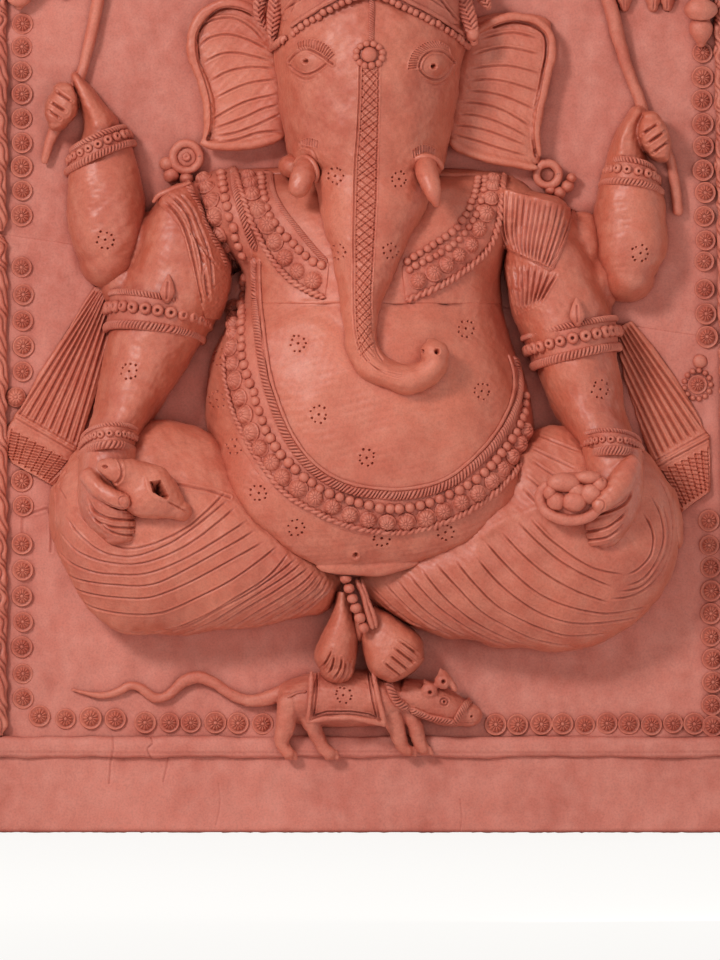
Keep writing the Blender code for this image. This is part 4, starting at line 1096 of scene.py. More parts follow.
PLEATS_LEFT = [
    [(-336, 384), (-318, 366), (-300, 350), (-280, 342), (-262, 343), (-235, 352), (-200, 372),
     (-160, 410)],
    [(-350, 378), (-335, 358), (-316, 342), (-300, 335), (-275, 332), (-250, 338), (-215, 355),
     (-158, 400)],
    [(-358, 360), (-340, 340), (-320, 330), (-300, 325), (-270, 323), (-240, 330), (-200, 350),
     (-148, 392)],
    [(-362, 340), (-345, 324), (-320, 314), (-300, 311), (-260, 311), (-230, 320), (-190, 340),
     (-135, 375)],
    [(-362, 322), (-346, 308), (-320, 301), (-290, 298), (-260, 297), (-235, 303), (-165, 340),
     (-125, 364)],
    [(-352, 302), (-338, 292), (-315, 286), (-290, 283), (-260, 282), (-240, 286), (-200, 303),
     (-115, 350)],
    [(-340, 282), (-322, 272), (-300, 266), (-275, 263), (-250, 263), (-230, 267), (-200, 280),
     (-150, 306), (-98, 345)],
    [(-300, 248), (-282, 242), (-255, 241), (-225, 245), (-190, 259), (-150, 282), (-110, 308), (-85, 337)],
    [(-236, 240), (-205, 249), (-170, 268), (-130, 290), (-98, 312), (-76, 330)],
    [(-216, 238), (-180, 252), (-150, 270), (-118, 290), (-90, 308), (-68, 326)],
    [(-196, 239), (-165, 252), (-136, 270), (-104, 289), (-80, 305), (-60, 320)],
    [(-176, 239), (-150, 249), (-122, 266), (-94, 283), (-70, 299), (-53, 316)],
    [(-160, 241), (-134, 250), (-108, 264), (-84, 278), (-62, 295), (-48, 312)],
    [(-140, 244), (-116, 252), (-92, 265), (-72, 278), (-54, 292), (-43, 308)],
    [(-118, 248), (-98, 255), (-78, 266), (-60, 279), (-46, 291), (-38, 305)],
    [(-96, 253), (-78, 260), (-62, 270), (-48, 282), (-38, 292), (-33, 302)],
]
PLEATS_RIGHT = [
    [(205, 376), (225, 355), (250, 335), (280, 318), (315, 311)],
    [(190, 372), (215, 347), (240, 326), (270, 309), (303, 295)],
    [(170, 360), (200, 329), (230, 306), (260, 290), (297, 277)],
    [(150, 350), (180, 316), (210, 290), (240, 275), (275, 266), (300, 264), (345, 272)],
    [(140, 330), (165, 301), (190, 280), (220, 262), (250, 253), (280, 252), (330, 259), (350, 268)],
    [(115, 326), (140, 296), (165, 272), (195, 255), (225, 243), (250, 237), (295, 240)],
    [(92, 322), (120, 291), (145, 266), (175, 248), (205, 234), (235, 227), (258, 225)],
    [(75, 315), (100, 284), (125, 262), (150, 246), (180, 232), (215, 222)],
    [(60, 308), (90, 275), (120, 252), (150, 235), (180, 224)],
    [(45, 303), (75, 270), (105, 248), (140, 231), (160, 225)],
    [(30, 299), (60, 268), (84, 250), (112, 236)],
    [(15, 294), (40, 270), (66, 252), (98, 241)],
    [(8, 288), (28, 270), (52, 254), (78, 244)],
    [(355, 430), (368, 405), (374, 375), (372, 345), (362, 315), (345, 296), (325, 285), (300, 281)],
    [(348, 405), (360, 380), (363, 352), (354, 325), (338, 305), (318, 297)],
    [(338, 385), (350, 360), (348, 335), (334, 318), (318, 310)],
    [(362, 395), (369, 365), (366, 338), (352, 312), (336, 296), (310, 290)],
]
THIGH_RIGHT = [[(212, 478), (236, 468), (262, 458)], [(206, 462), (232, 449), (258, 437)],
               [(208, 446), (226, 433), (246, 422)], [(200, 428), (216, 414), (232, 402)],
               [(196, 412), (210, 398), (222, 388)]]


def legs():
    made = []
    for word, rows, knee in (("left", LEG_LEFT, KNEES[0]), ("right", LEG_RIGHT, KNEES[1])):
        shape = loft(stations(rows, LEG_DEPTH), 1.8, 190, 26, end=knee)
        shape = handled(shape, 51 if word == "left" else 52, 1.0, 0.12)
        relief = relief_over(shape, 6)
        pleats = PLEATS_LEFT if word == "left" else PLEATS_RIGHT
        for line in pleats:
            relief.line(line, 1.05, 2.2, 0.25, step=0.9, fade=12)
        if word == "left":
            relief.line([(-236, 421), (-205, 416), (-180, 411), (-155, 403)], 1.3, 1.8, 0.5)
            relief.line([(-352, 434), (-360, 418), (-352, 402)], 1.1, 1.2)
        else:
            for line in THIGH_RIGHT:
                relief.line(line, 1.1, 1.5, 0.3, fade=8)
            relief.ridge([(150, 358), (168, 372), (190, 382), (216, 391)], 5, 1.8)
        made.append(carved(shape, relief, 1))
    return made


REAR_ARM_LEFT = [
    (-336, 686, -268, 690, 0.92),
    (-347, 715, -260, 715, 1.0),
    (-350, 755, -258, 755, 1.0),
    (-350, 790, -266, 795, 0.92),
    (-345, 816, -274, 828, 0.80),
]
REAR_ARM_RIGHT = [
    (289, 668, 354, 668, 0.92),
    (281, 700, 368, 700, 1.0),
    (280, 740, 368, 738, 1.0),
    (286, 775, 363, 772, 0.92),
    (295, 800, 354, 795, 0.80),
]
FRONT_ARM_LEFT = [
    (-250, 750, -192, 772, 0.72),
    (-262, 722, -180, 738, 0.86),
    (-272, 690, -158, 700, 0.94),
    (-288, 655, -155, 652, 0.98),
    (-299, 622, -181, 603, 1.0),
    (-304, 590, -199, 572, 1.02),
    (-311, 550, -217, 543, 1.06),
    (-319, 510, -242, 507, 1.16),
    (-330, 472, -262, 472, 1.34),
    (-336, 446, -267, 450, 1.44),
]
FRONT_ARM_RIGHT = [
    (194, 768, 250, 750, 0.72),
    (180, 732, 263, 722, 0.86),
    (172, 692, 282, 680, 0.94),
    (177, 643, 298, 640, 0.98),
    (193, 596, 306, 605, 1.0),
    (214, 554, 309, 570, 1.02),
    (230, 508, 316, 520, 1.06),
    (254, 470, 325, 482, 1.26),
    (267, 446, 338, 450, 1.44),
]
ELBOWS = [(-301, 653), (320, 636)]
SHOULDER_TOPS = [(-215, 777), (224, 767)]
ARM_MARKS = [(-305, 711), (336, 695), (-276, 554), (288, 532)]


SLEEVE_TRAILS = [
    [(176 + 8.5 * k, 688 - 2.6 * k), (181 + 6.5 * k, 655), (188 + 3.8 * k, 624 + 1.5 * k)] for k in range(8)
]


def arms():
    made = {}
    relief = Relief((-360, 430), (380, 870))
    for x, z in ARM_MARKS:
        relief.cluster(x, z, 10)
    for line in SLEEVE_TRAILS:
        relief.line(line, 1.2, 2.5, 0.3, step=1.2, fade=7)
    for name, rows, pole, depth, tuck in (
        ("rear_arm_left", REAR_ARM_LEFT, ELBOWS[0], REAR_ARM_DEPTH, 12),
        ("rear_arm_right", REAR_ARM_RIGHT, ELBOWS[1], REAR_ARM_DEPTH, 12),
        ("front_arm_left", FRONT_ARM_LEFT, SHOULDER_TOPS[0], FRONT_ARM_DEPTH, 10),
        ("front_arm_right", FRONT_ARM_RIGHT, SHOULDER_TOPS[1], FRONT_ARM_DEPTH, 10),
    ):
        shape = loft(stations(rows, depth), 2.2, 84, tuck, 2.15, start=pole)
        if name.startswith("front"):
            side = 1 if name.endswith("right") else -1
            web = [lobe(side * x, z, back, rx, rz, rd) for x, z, back, rx, rz, rd in (
                (266, 700, 0, 34, 48, 45), (284, 662, 0, 31, 38, 47), (228, 728, 24, 24, 28, 40))]
            for bulge in web:
                bulge.points[:, 2] = np.maximum(bulge.points[:, 2], GAP)
            shape = fused([shape] + web, 2.2, 26)
        shape = handled(shape, 60 + len(made), 0.8)
        made[name] = carved(shape, relief, 2)
    return made


for section in ("lower", "upper"):
    piece("slab_" + section, slab(section), PALE)
belly, chest = torso()
piece("belly", belly)
piece("chest", chest)
leg_left, leg_right = pair("leg", legs())
arm = arms()
for name, shape in arm.items():
    piece(name, shape, POLISHED)


# Head and trunk


HEAD = [
    (-104, 1004, 126, 1004, 0.86),
    (-107, 960, 131, 960, 0.94),
    (-103, 920, 123, 920, 0.99),
    (-98, 880, 117, 880, 1.0),
    (-94, 845, 112, 845, 1.0),
    (-86, 815, 105, 815, 0.98),
    (-66, 788, 95, 785, 0.95),
]
BROW = (11, 1040)
MOUTH = (14, 770)
# Trunk edges with the depth of its back
TRUNK = [
    (-60, 786, 90, 784, 60),
    (-51, 765, 82, 757, 70),
    (-46, 735, 68, 725, 80),
    (-37, 703, 55, 699, 88),
    (-31, 672, 42, 670, 96),
    (-25, 640, 28, 639, 106),
    (-21, 605, 21, 605, 122),
    (-17, 578, 24, 585, 130),
    (-6, 552, 32, 570, 136),
    (22, 534, 42, 565, 140),
    (57, 525, 56, 563, 142),
    (89, 535, 70, 567, 140),
    (106, 557, 77, 577, 138),
]
TRUNK_TIP = (92, 592)
TRUNK_THICKNESS = 34
# The lattice strip down the trunk: height, left edge, right edge
LATTICE = [
    (922, 0, 22),
    (880, -1, 22),
    (840, -3, 21),
    (800, -6, 20),
    (760, -7, 19),
    (720, -8, 17),
    (680, -8, 15),
    (640, -8, 13),
    (600, -6, 15),
    (580, -1, 19),
    (566, 8, 27),
]
FACE_MARKS = [(-30, 787), (47, 783), (-27, 695), (37, 697)]
EYES = [
    (-65.3, 923.5, 9.5, [(-85, 923.5), (-77, 932), (-64, 938), (-49, 932), (-32.5, 920)],
     [(-83, 919), (-77, 913), (-65, 908), (-52, 912), (-41, 920)]),
    (88.4, 917.5, 12, [(70.5, 916), (75, 928), (85, 935), (98, 935), (106, 930), (112, 923.5)],
     [(70.5, 914.5), (79.5, 905), (93, 902), (105, 910), (112, 923.5)]),
]
BROW_HATCH = [
    ([(-71, 937), (-58, 940), (-46, 934), (-37, 925)], [(-74, 946), (-57, 949), (-41, 943),
     (-31, 931)], 15),
    ([(70.5, 917), (74, 928), (84, 936), (97, 937), (106, 932)], [(58, 914.5), (63, 932), (76.5, 944),
     (91, 947), (104, 941)], 22),
    ([(-72, 820), (-62, 824), (-52, 821)], [(-72, 827), (-62, 831), (-51, 828)], 8),
    ([(65, 809), (76, 815), (88, 811)], [(64, 817), (76, 823), (89, 819)], 9),
]


def swollen(shape, spots):
    """Raises soft mounds (x, z, half-width, half-height, rise) on the front of a form."""
    normals = normals_of(shape)
    facing = np.clip(normals[:, 2] / 0.3, 0, 1)
    lift = np.zeros(len(shape.points))
    for x, z, rx, rz, rise in spots:
        away = ((shape.points[:, 0] - x) / rx) ** 2 + ((shape.points[:, 1] - z) / rz) ** 2
        lift += rise * np.exp(-away)
    return Shape(shape.points + normals * (lift * facing)[:, None], shape.faces)


def trunk_rows():
    rows = []
    for ax, az, bx, bz, back in TRUNK:
        upper = max(0, min(1, (az - 560) / 220))
        crest = back + TRUNK_THICKNESS + upper * (HEAD_DEPTH * 0.95 - 60 - TRUNK_THICKNESS)
        rows.append((ax, az, bx, bz, back - 5, crest))
    return rows


BROW_RIDGES = [
    [(-73, 940), (-57.5, 945), (-43.5, 939), (-34, 927)],
    [(62, 914), (67, 931), (79, 941), (94, 943), (106, 936)],
]


def lattice(relief):
    """Lozenges scratched by hand down the trunk: no two strokes are quite alike."""
    heights, lefts, rights = np.array(LATTICE, float).T
    order = heights[::-1]
    chance = np.random.RandomState(17)

    def edge(sides, z):
        return float(np.interp(z, order, sides[::-1]))

    for sides in (lefts, rights):
        relief.line(list(zip(sides, heights)), 0.9, 1.5, 0.35)
    relief.line(list(zip(lefts + 3.4, heights)), 0.7, 1.0, 0.2)
    z = 921.0
    while z > 582:
        drop = chance.uniform(15.0, 20.0)
        left, right = edge(lefts, z) + 3.6, edge(rights, z) - 1
        ends = z + chance.uniform(-1.8, 1.8, 2), z - drop + chance.uniform(-1.8, 1.8, 2)
        relief.line([(left, ends[0][0]), (right, ends[1][0])], 0.8, 1.3, 0.35, smooth=False)
        relief.line([(left, ends[1][1]), (right, ends[0][1])], 0.8, 1.3, 0.35, smooth=False)
        z -= drop * 0.56
    for shift in (0, 4, 8):
        relief.line(
            [(9 + shift, 566 - shift), (22 + shift, 556 - shift * 0.7), (52, 549 - shift * 0.6)], 0.8, 1.0,
            0.2, fade=6
        )


def hatch(relief, inner, outer, count):
    """Short strokes between two lines."""
    inner, outer = curve(inner, count=count), curve(outer, count=count)
    for p, q in zip(inner, outer):
        relief.line([p, q], 0.8, 1.5, 0.25, smooth=False)


def head():
    skull = loft(stations(HEAD, HEAD_DEPTH), 3, 90, fullness=2.25, start=BROW, end=MOUTH)
    trunk = loft(trunk_rows(), 2.5, 64, 14, start=(14, 812), end=TRUNK_TIP)
    tip = lobe(89, 575, 152, 17.5, 17, 19)
    shape = fused([skull, trunk, tip], 2.1, 5)
    shape = handled(shape, 71, 0.75)
    mounds = [
        (-64, 935, 26, 11, 2.0),
        (88, 933, 28, 12, 2.0),
        (10, 900, 30, 60, 2.0),
        (-72, 806, 20, 12, 4.0),
        (80, 806, 20, 12, 4.0),
        (91, 577, 9, 9, 1.6),
    ]
    for x, z, reach, _, _ in EYES:
        mounds += [(x, z, reach * 1.7, reach * 1.1, 2.8), (x, z, reach * 0.9, reach * 0.8, 4.2)]
    shape = swollen(shape, mounds)
    relief = Relief((-130, 500), (150, 1060))
    for path in BROW_RIDGES:
        relief.ridge(path, 5.5, 1.9)
    for x, z, reach, upper, lower in EYES:
        relief.ridge(upper, 2.3, 1.5)
        relief.ridge(lower, 2.0, 0.9)
        relief.line(upper, 1.2, 2.9, 0.3)
        relief.line(lower, 1.1, 2.3, 0.3)
        relief.dot(x, z, 2.9, 13.0, 0.3)
        relief.line([(px, pz - 6) for px, pz in lower[1:-1]], 1.1, 0.9, 0.3, fade=5)
    for inner, outer, count in BROW_HATCH:
        hatch(relief, inner, outer, count)
    for x, z in FACE_MARKS:
        relief.cluster(x, z, 9, 9)
    lattice(relief)
    relief.dot(92, 577, 3.0, 12, 0.5)
    relief.dot(74, 577, 2.0, 8, 0.3)
    relief.line([(-52, 806), (-58, 818), (-70, 822)], 1.2, 0.9)
    return carved(shape, relief, 2, 1.0)


def tusks():
    """The viewer's left tusk is a broken, rounded stump; the right one tapers."""
    stump = tube(
        curve([(-64, 801, 92, 12), (-66, 793, 104, 13.5), (-69, 783, 113, 14), (-73, 772, 117, 12.5)], 1.6),
        34
    )
    ring = roll([(-78, 801, 82), (-68, 809, 96), (-58, 805, 106), (-52, 793, 108), (-53, 780, 100)], 3.8)
    root = lobe(-79, 799, 50, 20, 15, 27)
    left = joined([handled(fused([stump, root], 1.2, 9), 81, 0.5), ring])
    line = [
        (76, 806, 98, 12), (78, 798, 110, 14), (80, 788, 121, 14), (84, 776, 130, 12.3),
        (88, 763, 134, 8.6), (91, 753, 133, 4.2)
    ]
    collar = roll([(60, 795, 104), (64, 805, 112), (77, 810, 115), (91, 806, 108), (98, 796, 96)], 4.0)
    right = joined([handled(tube(curve(line, 1.6)), 82, 0.4), collar])
    return left, right


def tube(rows, around=28, squash=1.0):
    """A round form along (x, z, depth, radius) rows, with rounded ends."""
    places, girth = rows[:, :3], rows[:, 3]
    along = unit(np.gradient(places, axis=0))
    side = unit(np.cross(along, [0.02, 0.01, 1.0]))
    up = np.cross(side, along)
    angle = circle(around)
    rings = []
    caps = np.radians([80, 60, 40, 20])
    for a in caps:
        centre = places[0] - along[0] * girth[0] * math.sin(a) * 0.9
        rings.append((centre, side[0], up[0], girth[0] * math.cos(a)))
    rings += list(zip(places, side, up, girth))
    for a in caps[::-1]:
        centre = places[-1] + along[-1] * girth[-1] * math.sin(a) * 0.9
        rings.append((centre, side[-1], up[-1], girth[-1] * math.cos(a)))
    made = [
        c + np.cos(angle)[:, None] * s * g + np.sin(angle)[:, None] * u * g * squash
        for c, s, u, g in rings
    ]
    return skin(made)


def roll(points, radius, pitch=1.4, squash=1.0):
    """An even roll of clay through (x, z, depth) points."""
    line = curve(points, pitch)
    along = np.linspace(0, 1, len(line))
    girth = radius * (0.55 + 0.45 * np.clip(np.minimum(along, 1 - along) * 9, 0, 1) ** 0.5)
    return tube(np.column_stack([line, girth]), 16, squash)


EAR_RIM_LEFT = [(-100, 944), (-109, 966), (-126, 986), (-148, 995), (-170, 994), (-190, 980), (-201, 957),
                (-200, 930), (-190, 903), (-183, 878), (-182, 850), (-187, 832)]
EAR_RIM_RIGHT = [
    (126, 952), (142, 964), (160, 973), (186, 979), (212, 974), (228, 957), (230, 935), (225, 912),
    (220, 888), (214, 862), (212, 838), (216, 812),
]
EAR_FOOT_LEFT = [(-190, 828), (-170, 824), (-140, 825), (-112, 830), (-92, 836)]
EAR_FOOT_RIGHT = [(108, 830), (122, 820), (148, 811), (178, 804), (212, 798)]
EAR_LEFT = [
    (-190, 983, -106, 985, 0.55),
    (-204, 955, -92, 955, 0.6),
    (-202, 925, -88, 925, 0.66),
    (-188, 893, -84, 893, 0.7),
    (-183, 860, -80, 860, 0.74),
    (-185, 824, -80, 838, 0.76),
]
EAR_RIGHT = [
    (124, 966, 228, 966, 0.55),
    (116, 936, 233, 938, 0.62),
    (106, 889, 225, 889, 0.68),
    (98, 850, 216, 848, 0.72),
    (98, 827, 217, 801, 0.76),
]
EAR_TOPS = [(-150, 1001), (186, 985)]
FOLDS_LEFT = [
    [(-192, 966), (-178, 975), (-155, 978), (-135, 970), (-116, 952)],
    [(-193, 943), (-180, 954), (-158, 958), (-135, 952), (-110, 940)],
    [(-186, 924), (-168, 934), (-148, 936), (-128, 932), (-106, 926)],
    [(-178, 902), (-162, 912), (-145, 917), (-128, 919), (-102, 917)],
    [(-173, 881), (-155, 891), (-138, 898), (-120, 902), (-100, 904)],
    [(-178, 855), (-160, 866), (-140, 876), (-120, 882), (-98, 886)],
    [(-175, 845), (-155, 852), (-135, 860), (-118, 868), (-96, 874)],
    [(-172, 836), (-150, 840), (-130, 847), (-112, 855), (-94, 863)],
    [(-172, 829), (-148, 832), (-122, 840), (-96, 842)],
]
FOLDS_RIGHT = [
    [(146, 953), (165, 958), (185, 960), (214, 953)],
    [(138, 935), (160, 941), (180, 942), (216, 934)],
    [(134, 917), (155, 920), (180, 920), (216, 911)],
    [(132, 903), (155, 904), (180, 900), (215, 889)],
    [(130, 890), (150, 889), (175, 883), (210, 868)],
    [(122, 877), (145, 875), (172, 867), (205, 847)],
    [(118, 862), (138, 861), (165, 853), (203, 834)],
    [(114, 849), (135, 847), (160, 840), (200, 824)],
    [(112, 838), (135, 832), (165, 822), (200, 812)],
]


def ear(rows, rim, foot, folds, top, seed):
    wide = 6.2 if rows[0][0] < 0 else 5.0
    dish = loft(stations(rows, EAR_DEPTH), 3, 60, fullness=4.0, start=top)
    outer = [(x, z, 20 if i < 2 else 24) for i, (x, z) in enumerate(rim)]
    inner = [(x, z, 24) for x, z in foot]
    parts = [dish, roll(outer, wide, 2), roll(inner, 6.0, 2)]
    shape = fused(parts, 1.7, 3)
    shape = handled(shape, seed, 0.6, 0.12)
    relief = relief_over(shape, 5)
    for line in folds:
        relief.line(line, 1.2, 1.7, 0.3, step=1.8, fade=10)
    middle = np.array(rows)[:, [0, 2]].mean()
    inset = [(x + (middle - x) * 0.10, z - 6 if z > 960 else z) for x, z in rim[2:]]
    relief.line(inset, 1.3, 2.4, 0.2)
    return carved(shape, relief, 1)


EARRING_LEFT = [(-208, 811, 21), (-232, 803, 9), (-226, 789, 9.5), (-208, 785, 9)]
EARRING_RIGHT = [(225, 790, 18), (228, 771, 7), (239, 768, 8), (249, 776, 8), (254, 786, 6.5)]


def earring(discs, seed, floor=5.8):
    """A ring with a disc inside, studded if it stands high, and balls of clay under it."""
    x, z, reach = discs[0]
    angle = circle(60)
    wide = reach - 4.6
    ring_points = np.column_stack([x + wide * np.cos(angle), z + wide * np.sin(angle), np.full(60, 13.0)])
    ring_points = np.vstack([ring_points, ring_points[:2]])
    parts = [tube(np.column_stack([ring_points, np.full(62, 4.9)]), 18)]
    disc = [
        (reach - 8, -8), (reach - 7.4, floor - 2.8), (reach - 8.6, floor - 0.8),
        (reach - 12, floor - 0.2), (2, floor),
    ]
    parts.append(stamped(turned(disc, 40), np.array([x, z, 7.0]), FLAT))
    if floor > 3:
        stud = [(4.6, 0), (4.8, 2.6), (3.6, 3.6), (1.8, 3.2), (0.6, 2.2)]
        parts.append(stamped(turned(stud, 24), np.array([x, z, 12.4]), FLAT))
    for bx, bz, r in discs[1:]:
        parts.append(lobe(bx, bz, 9, r, r * 0.95, 9.5))
    return handled(closed(parts), seed, 0.35)


# Garlands and collars

BELLY_INNER = [
    (-126, 690), (-126, 660), (-125, 632), (-122, 602), (-118, 570), (-112, 540), (-104, 515), (-95, 492),
    (-84, 470), (-68, 448), (-50, 431), (-30, 419), (-8, 411), (15, 407), (40, 405), (66, 407), (92, 413),
    (115, 424), (135, 440), (155, 460), (170, 480), (182, 502), (190, 528), (190, 550), (184, 572),
]
BELLY_BEADS = [
    (-137, 670), (-139, 640), (-140, 605), (-139, 575), (-135, 552), (-128, 532), (-122, 510), (-113, 488),
    (-100, 463), (-86, 446), (-67, 428), (-46, 413), (-22, 403), (4, 396), (28, 391), (52, 391), (76, 395),
    (98, 403), (120, 413), (142, 428), (160, 446), (176, 466), (187, 484), (194, 505), (197, 528),
]
BELLY_ROSES = [
    (-149, 640), (-151, 610), (-152, 575), (-150, 550), (-145, 530), (-138, 508), (-131, 486), (-121, 466),
    (-106, 445), (-87, 423), (-65, 410), (-44, 398), (-21, 386), (2, 379), (26, 374), (50, 374), (72, 376),
    (91, 384), (110, 392), (130, 402), (148, 414), (164, 430), (178, 447), (190, 466), (199, 488),
]
BELLY_OUTER = [
    (-160, 580), (-161, 550), (-156, 525), (-149, 502), (-138, 478), (-126, 456), (-112, 436), (-94, 413),
    (-74, 398), (-50, 385), (-24, 373), (2, 366), (26, 362), (50, 362), (76, 366), (98, 373), (120, 382),
    (142, 395), (160, 408), (178, 426), (192, 445), (203, 468),
]


def strand(kind, path, ground, size, seed, pitch=None, lift=0.0):
    """One run of a garland: rope, plain roll, beads, roses, or a band notched one way or back."""
    fine = {"cord": 0.6, "back": 0.6, "rope": 0.9}
    places, normals = ground.path(path, fine.get(kind, 1.3), 22 if kind in fine else 5)
    places = places + normals * lift
    if kind == "rope":
        return rope(places, normals, size, size * 3.4, seed=seed)
    if kind in ("cord", "back"):
        way = 1 if kind == "cord" else -1
        return notched_band(places, normals, size * 2, size * 0.95, size * 0.8, seed, way=way)
    if kind == "plain":
        return rope(places, normals, size, 900, strands=6, seed=seed)
    chance = np.random.RandomState(seed)
    spots, leans = spaced(places, normals, pitch or size * 2)
    parts = []
    for place, normal in zip(spots, leans):
        own = size * chance.uniform(0.92, 1.07)
        lean = normal + chance.normal(size=3) * 0.06
        place = place + np.append(chance.normal(size=2) * 0.5, 0)
        if kind == "beads":
            parts.append(stamped(BEAD, place, lean, own, lift=own * 0.35))
        else:
            parts.append(stamped(ROSE, place, lean, own, chance.uniform(0, 6), own * 0.06))
    return joined(parts)


BEAD = ball(18, 0.92)
PIERCED = pierced_ball()
ROSE = bloom()


def bed(rows, ground, proud, pitch=2.2, across=18, seed=0, soft=0):
    """A soft strip of slip that the ornament is pressed into, from (ax, az, bx, bz) rows."""
    rows = curve(rows, pitch)
    shares = np.linspace(0, 1, across)
    fronts = []
    for ax, az, bx, bz in rows:
        line = []
        for s in shares:
            place, normal = ground.touch(bx + (ax - bx) * s, bz + (az - bz) * s)
            line.append(place + normal * proud * (math.sin(math.pi * s) ** 0.35 if 0 < s < 1 else -0.4))
        fronts.append(line)
    fronts = np.array(fronts)
    for _ in range(soft):
        middle = fronts[1:-1, 1:-1]
        middle += 0.2 * (
            fronts[:-2, 1:-1] + fronts[2:, 1:-1] + fronts[1:-1, :-2] + fronts[1:-1, 2:] - 4 * middle
        )
    fronts[1:-1, 1:-1, 2] = (fronts[:-2, 1:-1, 2] + 2 * fronts[1:-1, 1:-1, 2] + fronts[2:, 1:-1, 2]) / 4
    backs = fronts[:, ::-1].copy()
    backs[..., 2] -= 5 + proud
    for end in (0, -1):
        fronts[end, :, 2] -= proud
    rings = np.concatenate([fronts, backs], axis=1)
    return handled(skin(rings), 90 + seed, 0.4)


BELLY_BED = [
    (-118, 688, -146, 688),
    (-116, 622, -158, 618),
    (-110, 570, -166, 568),
    (-102, 515, -158, 508),
    (-82, 470, -140, 458),
    (-52, 432, -104, 408),
    (-16, 412, -50, 374),
    (36, 402, 26, 356),
    (80, 408, 92, 366),
    (118, 424, 144, 388),
    (150, 455, 182, 424),
    (174, 486, 204, 468),
    (184, 520, 205, 510),
    (182, 560, 196, 556),
]


def drawn_in(path, centre, by):
    """The path moved towards a centre."""
    path = np.array(path, float)
    away = np.array(centre) - path
    return path + away / np.linalg.norm(away, axis=1, keepdims=True) * by


def belly_garland(ground):
    return garland(ground, BELLY_BED, 1.4, 1, [
        ("plain", 2.4, 10, None, drawn_in(BELLY_INNER, (30, 600), 7.5)),
        ("cord", 5.6, 11, None, BELLY_INNER),
        ("beads", 6.2, 12, 12.4, BELLY_BEADS),
        ("roses", 11.2, 13, 23.2, BELLY_ROSES),
        ("rope", 4.4, 14, None, BELLY_OUTER),
    ])


def garland(ground, bed_rows, proud, seed, runs):
    """A bed of slip with runs of ornament on it, from (kind, size, seed, pitch, path) rows."""
    parts = [bed(bed_rows, ground, proud, seed=seed)]
    for kind, size, own_seed, pitch, path in runs:
        parts.append(strand(kind, path, ground, size, own_seed, pitch))
    return joined(parts)


SHOULDER_BED = [
    (-150, 797, -208, 790), (-146, 760, -200, 752), (-136, 726, -188, 716), (-128, 700, -170, 684),
    (-128, 684, -156, 668),
]
SHOULDER_RUNS = [
    ("cord", 5.6, 21, None, [(-208, 786), (-204, 770), (-194, 751), (-187, 730), (-173, 704), (-161, 679)]),
    ("roses", 11.2, 22, 22, [(-189, 788), (-181, 766), (-175, 744), (-169, 721), (-158, 698), (-147, 674)]),
    ("beads", 6.2, 23, 12.2, [(-167, 792), (-163, 772), (-158, 748), (-151, 727), (-146, 709),
     (-137, 689)]),
    ("back", 5.2, 24, None, [(-152, 798), (-150, 778), (-144, 754), (-137, 732), (-130, 712), (-124, 698)]),
]
COLLAR_LEFT_BED = [
    (-104, 794, -153, 794), (-98, 764, -146, 760), (-76, 728, -130, 722), (-52, 700, -92, 668),
    (-36, 684, -40, 637),
]
COLLAR_LEFT_RUNS = [
    ("cord", 3.6, 31, None, [(-107, 792), (-104, 769), (-92, 746), (-74, 723), (-55, 700), (-39, 683)]),
    ("beads", 5.7, 33, 11.2,
     [(-119, 790), (-114, 760), (-107, 738), (-93, 719), (-77, 703), (-59, 687), (-41, 678)]),
    ("roses", 11.0, 34, 22.4,
     [(-136, 794), (-131, 773), (-124, 753), (-110, 730), (-100, 707), (-85, 686), (-69, 671), (-46, 657)]),
    ("rope", 4.4, 35, None,
     [(-150, 792), (-141, 764), (-129, 732), (-120, 716), (-106, 690), (-83, 663), (-60, 649), (-41, 641)]),
]
COLLAR_RIGHT_BED = [
    (138, 790, 176, 790), (134, 756, 172, 750), (112, 722, 160, 712), (80, 697, 128, 673),
    (50, 680, 54, 633),
]
COLLAR_RIGHT_RUNS = [
    ("beads", 5.0, 36, 9.8, [(142, 786), (140, 773), (129, 746), (116, 726), (96, 710), (74, 696),
     (52, 682)]),
    ("beads", 4.8, 37, 9.4, [(149, 786), (148, 765), (138, 741), (125, 719), (106, 701), (84, 688),
     (54, 673)]),
    ("roses", 10.4, 38, 21.4, [(160, 788), (158, 774), (153, 751), (143, 726), (132, 705), (117, 692),
     (100, 678), (80, 667), (61, 655)]),
    ("rope", 4.8, 39, None, [(172, 790), (170, 770), (165, 731), (153, 701), (128, 677), (98, 657),
     (54, 637)]),
]


def collars(ground):
    left = garland(ground, COLLAR_LEFT_BED, 1.6, 3, COLLAR_LEFT_RUNS)
    return left, garland(ground, COLLAR_RIGHT_BED, 1.6, 4, COLLAR_RIGHT_RUNS)


HEADBAND_LEFT = [(-82, 956), (-62, 970), (-40, 984), (-16, 996), (6, 1003)]
HEADBAND_RIGHT = [(20, 1002), (40, 995), (62, 984), (82, 974), (102, 962), (122, 948), (133, 940)]


CROWN_FULL = HEAD_DEPTH * 0.93
CAP = [
    (-106, 974, 131, 968, 0.93),
    (-107, 992, 131, 990, 0.935),
    (-107, 1008, 131, 1008, 0.95),
]


